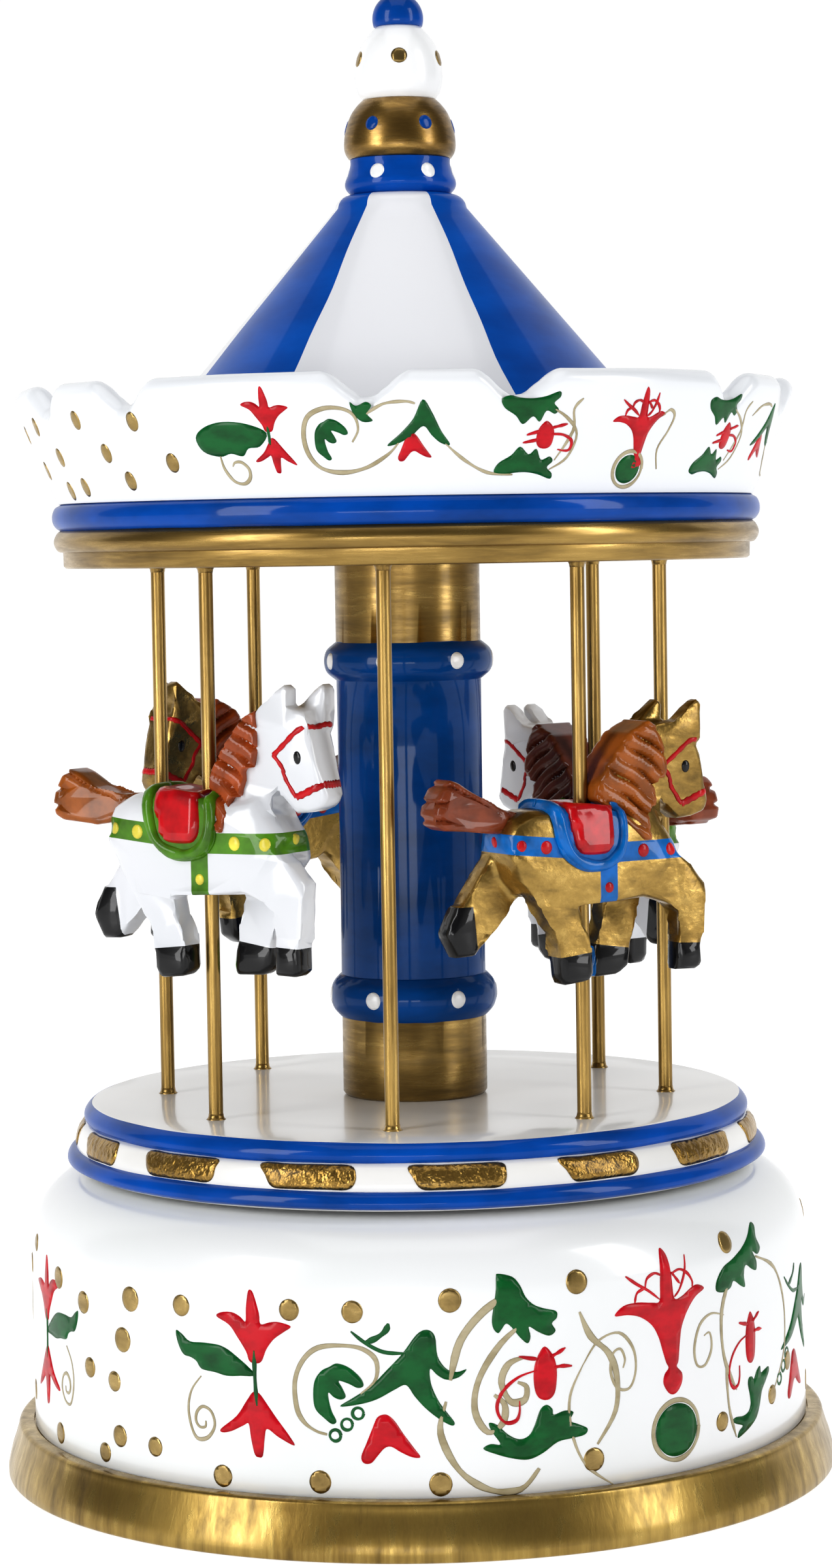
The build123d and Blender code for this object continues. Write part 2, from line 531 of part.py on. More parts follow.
# A butterfly key, two eyes either side of a hub, which screws onto the arbor under the board.
KEY_EYE_R, KEY_EYE_HOLE_R, KEY_EYE_X, KEY_T = 4.0, 1.9, 8.6, 2.0
KEY_HUB_R, KEY_HUB_TOP = 3.1, 9.4
eye_z = KEY_Z + KEY_EYE_R
with BuildPart() as winding_key:
    with BuildSketch(Plane.XZ.offset(-KEY_T / 2)):
        with Locations((0, eye_z)):
            Rectangle(2 * KEY_EYE_X, 4.4)
        with Locations((-KEY_EYE_X, eye_z), (KEY_EYE_X, eye_z)):
            Circle(KEY_EYE_R)
            Circle(KEY_EYE_HOLE_R, mode=Mode.SUBTRACT)
    extrude(amount=KEY_T)
    with Locations((0, 0, KEY_Z + 0.8)):
        Cylinder(KEY_HUB_R, KEY_HUB_TOP - KEY_Z - 0.8, align=RISING)
    with Locations((0, 0, ARBOR_LOW)):
        Cylinder(ARBOR_R, KEY_HUB_TOP, align=RISING, mode=Mode.SUBTRACT)
keep(winding_key, "winding_key")

# ---- spring drive on the middle axis ------------------------------------------------------------
with BuildPart() as spring_barrel:
    with BuildSketch(Plane.XZ):
        with BuildLine():
            inner_r, roof_z = BARREL_R - BARREL_WALL, BARREL_TOP - BARREL_WALL
            Polyline(
                (inner_r, BARREL_Z), (BARREL_R, BARREL_Z), (BARREL_R, BARREL_TOP), (SPINDLE_R, BARREL_TOP),
                (SPINDLE_R, roof_z), (inner_r, roof_z), close=True,
            )
        make_face()
    revolve(axis=Axis.Z)
keep(spring_barrel, "spring_barrel")

# The crown wheel closes the barrel from below. Its teeth stand up round the rim.
CROWN_TOOTH_W, CROWN_TOOTH_L = 0.75, 1.5
with BuildPart() as crown_wheel:
    with Locations((0, 0, CROWN_WHEEL_Z)):
        Cylinder(CROWN_FLANGE_R, CROWN_WHEEL_T, align=RISING)
        Cylinder(
            ARBOR_R + RUNNING_FIT, CROWN_WHEEL_T, align=RISING, mode=Mode.SUBTRACT
        )
    with Locations(Plane.XY.offset(BARREL_Z)):
        with PolarLocations(CROWN_WHEEL_R, CROWN_WHEEL_TEETH):
            Box(CROWN_TOOTH_L, CROWN_TOOTH_W, CROWN_TOOTH_H, align=RISING)
keep(crown_wheel, "crown_wheel")

# The mainspring is a flat strip coiled from the arbor out to the barrel's wall.
SPRING_IN_R, SPRING_OUT_R, SPRING_TURNS, SPRING_T = 2.6, 8.2, 9, 0.25
with BuildPart() as mainspring:
    with BuildSketch(Plane.XY.offset(BARREL_Z + 0.4)):
        with BuildLine():
            inside, outside = [], []
            steps = SPRING_TURNS * 8
            for step in range(steps + 1):
                coil_r = SPRING_IN_R + (SPRING_OUT_R - SPRING_IN_R) * step / steps
                inside.append(spot(coil_r, 45 * step)[:2])
                outside.append(spot(coil_r + SPRING_T, 45 * step)[:2])
            Spline(*inside)
            Spline(*outside)
            Line(inside[0], outside[0])
            Line(inside[-1], outside[-1])
        make_face()
    extrude(amount=BARREL_TOP - BARREL_WALL - BARREL_Z - 0.8)
keep(mainspring, "mainspring")

SPINDLE_COLLAR_R, SPINDLE_COLLAR_H = 3.4, 2.0
with BuildPart() as spindle:
    with Locations((0, 0, BARREL_TOP - BARREL_WALL)):
        Cylinder(
            SPINDLE_R, SPINDLE_TOP - BARREL_TOP + BARREL_WALL, align=RISING
        )
    with Locations((0, 0, BARREL_TOP)):
        Cylinder(SPINDLE_COLLAR_R, SPINDLE_COLLAR_H, align=RISING)
keep(spindle, "spindle")


# ---- gears --------------------------------------------------------------------------------------
def spur_wheel(place, teeth, tip_r, root_r, root_w, tip_w, thickness, first_angle, bore_r):
    """A spur wheel with straight-sided teeth. Its face stands on the plane `place`."""
    outline = []
    for tooth in range(teeth):
        angle = first_angle + tooth * 360 / teeth
        for radius, width in ((root_r, -root_w), (tip_r, -tip_w), (tip_r, tip_w), (root_r, root_w)):
            outline.append(spot(radius, angle + width / 2 / radius * 180 / pi)[:2])
    with BuildSketch(place) as face:
        with BuildLine():
            Polyline(*outline, close=True)
        make_face()
        Circle(bore_r, mode=Mode.SUBTRACT)
    extrude(face.sketch, amount=thickness)


def across(x, y=0.0):
    """Plane square to a shaft along X, with local x along +Y and local y up."""
    return Plane(origin=(x, y, AXIS_Z), x_dir=(0, 1, 0), z_dir=(1, 0, 0))


CYLINDER_PINION_X, CYLINDER_PINION_T = 11.8, 1.6
with BuildPart() as cylinder_pinion:
    spur_wheel(
        across(CYLINDER_PINION_X), CYLINDER_TEETH, CYLINDER_PITCH_R + 0.45, CYLINDER_PITCH_R - 0.9, 1.1, 0.5,
        CYLINDER_PINION_T, 0, SHAFT_R,
    )
keep(cylinder_pinion, "cylinder_pinion")

SPUR_ROOT_W, SPUR_TIP_W = 0.60, 0.24
end_wheel_r = SPUR_MODULE * END_WHEEL_TEETH / 2
pinion_r = SPUR_MODULE * PINION_TEETH / 2
with BuildPart() as end_wheel:
    spur_wheel(
        across(END_WHEEL_X), END_WHEEL_TEETH, end_wheel_r + 0.32, end_wheel_r - 0.45, SPUR_ROOT_W, SPUR_TIP_W,
        END_WHEEL_T, 0, SHAFT_R,
    )
    with Locations(across(END_WHEEL_X)):
        with PolarLocations(5.0, 5):
            Cylinder(1.7, 4, mode=Mode.SUBTRACT)
keep(end_wheel, "end_wheel")

with BuildPart() as governor_pinion:
    spur_wheel(
        across(END_WHEEL_X, GOVERNOR_Y), PINION_TEETH, pinion_r + 0.32, pinion_r - 0.45, SPUR_ROOT_W,
        SPUR_TIP_W, END_WHEEL_T, 180 - 180 / PINION_TEETH, GOVERNOR_SHAFT_R,
    )
keep(governor_pinion, "governor_pinion")

WORM_WHEEL_T = 1.0
with BuildPart() as worm_wheel:
    spur_wheel(
        across(WORM_X - WORM_WHEEL_T / 2, GOVERNOR_Y), WORM_WHEEL_TEETH, WORM_WHEEL_R + 0.3,
        WORM_WHEEL_R - 0.5, 0.55, 0.28, WORM_WHEEL_T, 0, GOVERNOR_SHAFT_R,
    )
keep(worm_wheel, "worm_wheel")

with BuildPart() as cylinder_shaft:
    with Locations(across(10.7)):
        Cylinder(SHAFT_R, OUTER_BRACKET_X + BRACKET_T - 10.7, align=RISING)
keep(cylinder_shaft, "cylinder_shaft")

with BuildPart() as governor_shaft:
    with Locations(across(GOVERNOR_BRACKET_X, GOVERNOR_Y)):
        Cylinder(
            GOVERNOR_SHAFT_R, OUTER_BRACKET_X + BRACKET_T - GOVERNOR_BRACKET_X,
            align=RISING,
        )
keep(governor_shaft, "governor_shaft")

# A brass tube with closed ends. Its pins sit one comb pitch apart, on a rising and falling run of notes.
CYLINDER_WALL = 0.7
with BuildPart() as music_cylinder:
    with Locations(across(CYLINDER_X0)):
        Cylinder(CYLINDER_R, CYLINDER_X1 - CYLINDER_X0, align=RISING)
    for number in range(PIN_COUNT):
        note = (7 * number + number // 5) % COMB_TEETH
        pin_x = COMB_X0 + note * COMB_PITCH
        angle = 4 + number * 360 / PIN_COUNT
        stand = Plane(origin=(pin_x, 0, AXIS_Z), z_dir=(0, cos(radians(angle)), sin(radians(angle))))
        with Locations(stand.offset(CYLINDER_R - 0.3)):
            Cylinder(PIN_R, PIN_H + 0.3, align=RISING)
    with Locations(across(CYLINDER_X0 + CYLINDER_WALL)):
        Cylinder(
            CYLINDER_R - CYLINDER_WALL, CYLINDER_X1 - CYLINDER_X0 - 2 * CYLINDER_WALL,
            align=RISING, mode=Mode.SUBTRACT,
        )
    with Locations(across(CYLINDER_X0)):
        Cylinder(
            SHAFT_R, CYLINDER_X1 - CYLINDER_X0, align=RISING, mode=Mode.SUBTRACT
        )
keep(music_cylinder, "music_cylinder")

# ---- fan and its worm ---------------------------------------------------------------------------
WORM_TURNS, THREAD_ROOT_W, THREAD_TIP_W = 4.5, 0.5, 0.3
FAN_SHAFT_LOW, FAN_SHAFT_HIGH = BED_TOP + 0.4, FRAME_TOP - 0.3
worm_low = AXIS_Z - WORM_TURNS / 2 * WORM_LEAD
worm_bottom = Plane(origin=(WORM_X, WORM_Y, worm_low))
with BuildPart() as worm:
    with BuildLine():
        thread_path = Helix(WORM_LEAD, WORM_TURNS * WORM_LEAD, WORM_ROOT_R, center=worm_bottom.origin)
    with BuildSketch(Plane(origin=thread_path @ 0, x_dir=(1, 0, 0), z_dir=thread_path % 0)):
        with BuildLine():
            thread_h = WORM_R - WORM_ROOT_R
            Polyline(
                (-0.15, -THREAD_ROOT_W / 2), (thread_h, -THREAD_TIP_W / 2), (thread_h, THREAD_TIP_W / 2),
                (-0.15, THREAD_ROOT_W / 2), close=True,
            )
        make_face()
    sweep(path=thread_path, is_frenet=True)
    with Locations(worm_bottom.offset(-0.5)):
        Cylinder(WORM_ROOT_R, WORM_TURNS * WORM_LEAD + 1, align=RISING)
    with Locations((WORM_X, WORM_Y, FAN_SHAFT_LOW)):
        Cylinder(FAN_SHAFT_R, FAN_SHAFT_HIGH - FAN_SHAFT_LOW, align=RISING)
keep(worm, "worm")

FAN_R, FAN_LOW, FAN_H, FAN_T, FAN_HUB_R = 4.2, 29.4, 4.4, 0.35, 0.95
with BuildPart() as fan:
    with Locations((WORM_X, WORM_Y, FAN_LOW)):
        Box(2 * FAN_R, FAN_T, FAN_H, align=RISING)
        Cylinder(FAN_HUB_R, FAN_H, align=RISING)
        Cylinder(FAN_SHAFT_R, FAN_H, align=RISING, mode=Mode.SUBTRACT)
keep(fan, "fan")
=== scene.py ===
"""Carousel music box in painted wood: the looks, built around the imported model."""

from math import atan2, copysign, cos, hypot, pi, radians, sin, sqrt

import bmesh
import bpy
from mathutils import Matrix, Vector
from mathutils.bvhtree import BVHTree
from mathutils.geometry import delaunay_2d_cdt


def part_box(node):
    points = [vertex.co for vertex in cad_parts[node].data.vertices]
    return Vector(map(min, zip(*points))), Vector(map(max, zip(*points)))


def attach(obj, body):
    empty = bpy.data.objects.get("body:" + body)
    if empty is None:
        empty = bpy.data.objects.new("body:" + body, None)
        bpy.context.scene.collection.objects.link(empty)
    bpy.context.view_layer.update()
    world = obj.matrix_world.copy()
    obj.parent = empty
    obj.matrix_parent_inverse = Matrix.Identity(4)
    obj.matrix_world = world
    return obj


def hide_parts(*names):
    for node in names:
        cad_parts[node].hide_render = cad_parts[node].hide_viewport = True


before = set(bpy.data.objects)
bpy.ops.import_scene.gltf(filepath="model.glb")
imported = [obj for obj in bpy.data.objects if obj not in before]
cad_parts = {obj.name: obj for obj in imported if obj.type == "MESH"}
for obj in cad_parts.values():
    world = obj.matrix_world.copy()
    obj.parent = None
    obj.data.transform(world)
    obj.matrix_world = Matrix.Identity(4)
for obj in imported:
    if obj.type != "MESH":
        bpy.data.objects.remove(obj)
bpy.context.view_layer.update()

MM = 0.001

# ---- Camera ------------------------------------------------------------------------------------
# A long lens at the height of the canopy, looking slightly down at the front and rolled a hair.
VIEW_DISTANCE, EYE_HEIGHT, VIEW_SIDE = 555.7, 133.5, 0.8
LOOK_DOWN, ROLL = 3.61, -0.95
camera = bpy.data.objects.new("camera", bpy.data.cameras.new("camera"))
bpy.context.scene.collection.objects.link(camera)
camera.data.sensor_fit = "VERTICAL"
camera.data.sensor_height = 36
camera.data.lens = 88.4
camera.data.clip_start = 0.01
camera.location = (VIEW_SIDE * MM, -VIEW_DISTANCE * MM, EYE_HEIGHT * MM)
gaze = Matrix.Rotation(radians(90 - LOOK_DOWN), 4, "X") @ Matrix.Rotation(radians(ROLL), 4, "Z")
camera.rotation_euler = gaze.to_euler()
bpy.context.scene.camera = camera
bpy.context.scene.view_settings.view_transform = "Standard"
bpy.context.scene.view_settings.look = "Medium High Contrast"

# ---- Table and light ---------------------------------------------------------------------------
# A white studio table that runs up out of view behind the box, two large soft boxes at the sides, a big one
# overhead and a weaker one by the camera.
world = bpy.data.worlds.new("studio")
bpy.context.scene.world = world
world.use_nodes = True
world.node_tree.nodes["Background"].inputs["Color"].default_value = (1, 1, 1, 1)
world.node_tree.nodes["Background"].inputs["Strength"].default_value = 0.10


def soft_box(name, place, aim, width, height, watts):
    """A rectangular area light at `place`, facing `aim`, in metres."""
    lamp = bpy.data.lights.new(name, "AREA")
    lamp.shape = "RECTANGLE"
    lamp.size = width
    lamp.size_y = height
    lamp.energy = watts
    holder = bpy.data.objects.new(name, lamp)
    bpy.context.scene.collection.objects.link(holder)
    holder.location = place
    holder.rotation_euler = (Vector(aim) - Vector(place)).to_track_quat("-Z", "Y").to_euler()


soft_box("left_box", (-0.55, -0.45, 0.30), (0, 0, 0.10), 0.24, 0.60, 2.7)
soft_box("right_box", (0.60, -0.30, 0.35), (0, 0, 0.10), 0.18, 0.60, 1.9)
soft_box("top_box", (0, -0.10, 0.85), (0, 0, 0.10), 0.60, 0.60, 1.2)
soft_box("low_box", (-0.10, -0.95, 0.02), (0, 0, 0.02), 0.50, 0.16, 1.2)

FRONT_EDGE, TABLE_STEP, BEND_START, BEND_R, HALF_WIDTH, WALL_TOP = -4.5, 1.5, 1.5, 0.9, 4.8, 4.8
TABLE_SPAN = (-HALF_WIDTH, HALF_WIDTH)
table_mesh = bmesh.new()
rows = []
for step in range(14):
    bend = radians(90 * max(0, step - 3) / 10)
    y = BEND_START + BEND_R * sin(bend) if step > 3 else FRONT_EDGE + TABLE_STEP * step
    z = BEND_R * (1 - cos(bend)) if step > 3 else 0
    rows.append([table_mesh.verts.new((x, y, z)) for x in TABLE_SPAN])
rows.append([table_mesh.verts.new((x, BEND_START + BEND_R, WALL_TOP)) for x in TABLE_SPAN])
for low, high in zip(rows, rows[1:]):
    table_mesh.faces.new((low[0], low[1], high[1], high[0]))
table_data = bpy.data.meshes.new("table")
table_mesh.to_mesh(table_data)
for face in table_data.polygons:
    face.use_smooth = True
table = bpy.data.objects.new("table", table_data)
bpy.context.scene.collection.objects.link(table)
table_paint = bpy.data.materials.new("table_white")
table_paint.use_nodes = True
table_shader = table_paint.node_tree.nodes["Principled BSDF"]
table_shader.inputs["Base Color"].default_value = (0.35, 0.35, 0.35, 1)
table_shader.inputs["Roughness"].default_value = 0.6
table_shader.inputs["Emission Color"].default_value = (1, 1, 1, 1)
table_shader.inputs["Emission Strength"].default_value = 0.72
table_data.materials.append(table_paint)

# ---- Plinth ------------------------------------------------------------------------------------
# A turned ring under the drum, leaning in and rounded over at its top, in gold paint brushed up and down.
# Gold paint here is a metallic enamel, streaked light and dark by the brush.


def colour(red, green, blue):
    """A paint colour given as it is seen, 0 to 255, for a shader."""
    return tuple(((c / 255 + 0.055) / 1.055) ** 2.4 if c > 10 else c / 255 / 12.92
                 for c in (red, green, blue)) + (1,)


class Paint:
    """One painted finish, built up node by node. Every texture lies in the piece's own metres."""

    def __init__(self, name, roughness, metal=0.0, coat=0.0, coat_roughness=0.08):
        self.material = bpy.data.materials.new(name)
        self.material.use_nodes = True
        self.tree = self.material.node_tree
        self.shader = self.tree.nodes["Principled BSDF"]
        self.shader.inputs["Metallic"].default_value = metal
        self.shader.inputs["Roughness"].default_value = roughness
        self.shader.inputs["Coat Weight"].default_value = coat
        self.shader.inputs["Coat Roughness"].default_value = coat_roughness
        self.where = self.tree.nodes.new("ShaderNodeTexCoord").outputs["Object"]
        self.relief = None

    def node(self, kind, **inputs):
        made = self.tree.nodes.new(kind)
        for key, value in inputs.items():
            made.inputs[key.replace("_", " ")].default_value = value
        return made

    def noise(self, grain, detail=3.0, roughness=0.55, distortion=0.0, shift=0.0):
        """A noise whose grain is so many waves per metre along x, y and z."""
        stretch = self.node("ShaderNodeMapping", Scale=grain, Location=(shift, shift, shift))
        self.tree.links.new(self.where, stretch.inputs["Vector"])
        made = self.node("ShaderNodeTexNoise", Scale=1.0, Detail=detail, Roughness=roughness,
                         Distortion=distortion)
        self.tree.links.new(stretch.outputs["Vector"], made.inputs["Vector"])
        return made.outputs["Fac"]

    def ramp(self, value, stops):
        """Blend between (place, colour or grey) stops."""
        made = self.tree.nodes.new("ShaderNodeValToRGB")
        elements = made.color_ramp.elements
        while len(elements) < len(stops):
            elements.new(0.5)
        for element, (place, shade) in zip(elements, stops):
            element.position = place
            element.color = shade if isinstance(shade, tuple) else (shade, shade, shade, 1)
        self.tree.links.new(value, made.inputs["Fac"])
        return made.outputs["Color"]

    def mix(self, amount, first, second, blend="MIX"):
        """Mix two colours, each a socket or a colour, by a socket or a number."""
        made = self.tree.nodes.new("ShaderNodeMix")
        made.data_type = "RGBA"
        made.blend_type = blend
        for socket, value in zip((made.inputs[0], made.inputs[6], made.inputs[7]), (amount, first, second)):
            if isinstance(value, bpy.types.NodeSocket):
                self.tree.links.new(value, socket)
            else:
                socket.default_value = value
        return made.outputs[2]

    def set(self, name, socket):
        self.tree.links.new(socket, self.shader.inputs[name])

    def bump(self, height, strength, depth):
        """Raise the surface by the height socket, up to depth metres."""
        made = self.node("ShaderNodeBump", Strength=strength, Distance=depth)
        self.tree.links.new(height, made.inputs["Height"])
        if self.relief is not None:
            self.tree.links.new(self.relief, made.inputs["Normal"])
        self.relief = made.outputs["Normal"]
        self.tree.links.new(self.relief, self.shader.inputs["Normal"])


def gold_paint(name, streaks, light=(206, 178, 104), mid=(156, 128, 66), dark=(92, 72, 34), lumps=0.0):
    """Brushed gold enamel. `streaks` is the grain of the brush marks in waves per metre."""
    paint = Paint(name, roughness=0.34, metal=0.9, coat=0.2, coat_roughness=0.15)
    marks = paint.noise(streaks, detail=5.0, roughness=0.65, distortion=0.3)
    clouds = paint.noise((38, 38, 38), detail=4.0)
    shade = paint.ramp(marks, [(0.28, colour(*dark)), (0.52, colour(*mid)), (0.78, colour(*light))])
    patchy = paint.ramp(clouds, [(0.35, colour(*dark)), (0.65, colour(*light))])
    paint.set("Base Color", paint.mix(0.30, shade, patchy))
    paint.set("Roughness", paint.ramp(marks, [(0.25, 0.42), (0.75, 0.20)]))
    paint.bump(marks, 0.35, 0.00012)
    if lumps:
        paint.bump(paint.noise((900, 900, 900), detail=2.0), lumps, 0.0004)
    return paint.material


def smooth_points(points, steps, closed=False):
    """Points along a rounded line through the given ones."""
    count = len(points)
    curve = []
    for index in range(count if closed else count - 1):
        before = points[(index - 1) % count] if closed or index else points[0]
        here, after = points[index], points[(index + 1) % count]
        beyond = points[(index + 2) % count] if closed or index + 2 < count else points[-1]
        for step in range(steps):
            t = step / steps
            curve.append(tuple(
                0.5 * (2 * b + (c - a) * t + (2 * a - 5 * b + 4 * c - d) * t ** 2
                       + (3 * b - a - 3 * c + d) * t ** 3)
                for a, b, c, d in zip(before, here, after, beyond)
            ))
    if not closed:
        curve.append(tuple(points[-1]))
    return curve


def arc(centre_r, centre_z, radius, start, end, steps):
    """Points on a round of a turned profile, from one angle to another."""
    return [
        (centre_r + radius * cos(radians(start + (end - start) * k / steps)),
         centre_z + radius * sin(radians(start + (end - start) * k / steps)))
        for k in range(steps + 1)
    ]


def waver(angle, seed):
    """The slow unevenness of a line painted by hand on a turning piece, between -1 and 1."""
    slow, middling = sin(3 * angle + seed), 0.7 * sin(7 * angle + 2.1 * seed)
    return (slow + middling + 0.5 * sin(17 * angle + 0.7 * seed)) / 2.2


def show(name, mesh, materials, body, replaces=()):
    """Turn a bmesh into a smooth-shaded piece that rides on a body."""
    data = bpy.data.meshes.new(name)
    bmesh.ops.recalc_face_normals(mesh, faces=mesh.faces)
    mesh.to_mesh(data)
    mesh.free()
    for face in data.polygons:
        face.use_smooth = True
    for material in materials:
        data.materials.append(material)
    piece = bpy.data.objects.new(name, data)
    bpy.context.scene.collection.objects.link(piece)
    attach(piece, body)
    if replaces:
        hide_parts(*replaces)
    return piece


def turned(profile, around=256, paint_of=None, edges=()):
    """A closed ring turned from a profile of (radius, height) in mm. `paint_of` gives the material index
    from the profile step and the angle, and `edges` lists (profile point, how far it wavers, seed)."""
    mesh = bmesh.new()
    rows = []
    wavers = {index: (amount, seed) for index, amount, seed in edges}
    for index, (radius, height) in enumerate(profile):
        amount, seed = wavers.get(index, (0, 0))
        row = []
        for k in range(around):
            angle = 2 * pi * k / around
            lift = amount * waver(angle, seed)
            row.append(mesh.verts.new((radius * MM * cos(angle), radius * MM * sin(angle),
                                       (height + lift) * MM)))
        rows.append(row)
    for index in range(len(rows)):
        low, high = rows[index], rows[(index + 1) % len(rows)]
        for k in range(around):
            face = mesh.faces.new((low[k], low[(k + 1) % around], high[(k + 1) % around], high[k]))
            if paint_of:
                face.material_index = paint_of(index, 360 * (k + 0.5) / around)
    return mesh


def crease(piece, degrees=40):
    """Keep the turned corners crisp where the surface breaks by more than this."""
    piece.data.set_sharp_from_angle(angle=radians(degrees))


plinth_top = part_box("plinth_ring")[1][2] / MM
BORE_R, RIM_R = 49.6, 60.0
plinth_profile = [(BORE_R, 0), (RIM_R - 0.5, 0)] + arc(RIM_R - 0.5, 0.5, 0.5, -80, -10, 3)
plinth_profile += [(60.0, 1.4), (59.7, 2.7), (59.4, 3.9), (59.0, 5.0), (58.7, 6.0), (58.45, 6.8)]
plinth_profile += arc(57.7, plinth_top - 0.7, 0.7, 15, 85, 4) + [(57.2, plinth_top),
                                                                 (56.25, plinth_top - 0.02)]
plinth_profile += [(56.25, plinth_top - 0.5), (BORE_R, plinth_top - 0.5)]
plinth = show("plinth", turned(plinth_profile), [gold_paint("plinth_gold", (420, 420, 30))], "base",
              ["plinth_ring"])
crease(plinth)

# ---- Drum base ---------------------------------------------------------------------------------
# A turned cup in thick white enamel over filler, a wide round on its shoulder, dropped into the plinth.


def white_enamel(name, tint=(238, 239, 241), shadow=(231, 234, 234)):
    """Glossy white enamel, with soft lathe rings and the sagging of a brushed coat in its surface."""
    paint = Paint(name, roughness=0.30, coat=0.55, coat_roughness=0.10)
    clouds = paint.noise((30, 30, 30), detail=1.0)
    paint.set("Base Color", paint.ramp(clouds, [(0.25, colour(*shadow)), (0.75, colour(*tint))]))
    paint.bump(paint.noise((60, 60, 700), detail=3.0), 0.10, 0.0001)
    paint.bump(paint.noise((90, 90, 90), detail=1.0), 0.10, 0.0002)
    return paint.material


drum_white = white_enamel("drum_white")
DRUM_R, DRUM_TOP, SHOULDER = 56.0, 43.8, 9.5
CAVITY_R, CAVITY_TOP, BUSH_R = 46.0, 37.6, 3.0
drum_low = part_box("base_body")[0][2] / MM
shoulder_z = DRUM_TOP - SHOULDER
drum_profile = [(BORE_R, drum_low), (DRUM_R - 0.3, drum_low), (DRUM_R, drum_low + 0.4)]
drum_profile += [(DRUM_R, drum_low + 3 + 3 * k) for k in range(8)]
drum_profile += arc(DRUM_R - SHOULDER, shoulder_z, SHOULDER, 0, 90, 16)
drum_profile += [(30, DRUM_TOP), (BUSH_R, DRUM_TOP), (BUSH_R, CAVITY_TOP), (30, CAVITY_TOP),
                 (CAVITY_R, CAVITY_TOP)]
drum_profile += [(CAVITY_R, 14.0), (BORE_R, 14.0)]
drum = show("drum", turned(drum_profile), [drum_white], "base", ["base_body"])
crease(drum)


def drum_radius(height):
    """Outer radius of the drum at a height, in mm."""
    if height <= shoulder_z:
        return DRUM_R
    return DRUM_R - SHOULDER + sqrt(max(0.0, SHOULDER ** 2 - (height - shoulder_z) ** 2))


# ---- Painted flowers on the drum ---------------------------------------------------------------
# Folk flowers in red, green and gold, brushed on by hand in thick paint that stands slightly proud.
# Each motif is drawn flat, in mm across and up from its own middle, and then laid round the drum.


def flower_paint(name, base, deep):
    """Brushed enamel for the flowers, thinner and darker in places."""
    paint = Paint(name, roughness=0.38, coat=0.2, coat_roughness=0.12)
    paint.shader.inputs["Specular IOR Level"].default_value = 0.2
    strokes = paint.noise((260, 260, 480), detail=4.0, roughness=0.6)
    paint.set("Base Color", paint.ramp(strokes, [(0.30, colour(*deep)), (0.60, colour(*base))]))
    paint.bump(strokes, 0.25, 0.00008)
    return paint.material


red_paint = flower_paint("flower_red", (198, 8, 30), (160, 4, 22))
green_paint = flower_paint("leaf_green", (6, 92, 40), (3, 68, 28))
dot_gold = gold_paint("dot_gold", (300, 300, 500), light=(196, 170, 112), mid=(152, 128, 78),
                      dark=(112, 92, 52))
scroll_gold = flower_paint("scroll_gold", (178, 167, 138), (152, 140, 108))

PAINT_LIFT, PAINT_SINK = 0.10, 0.08


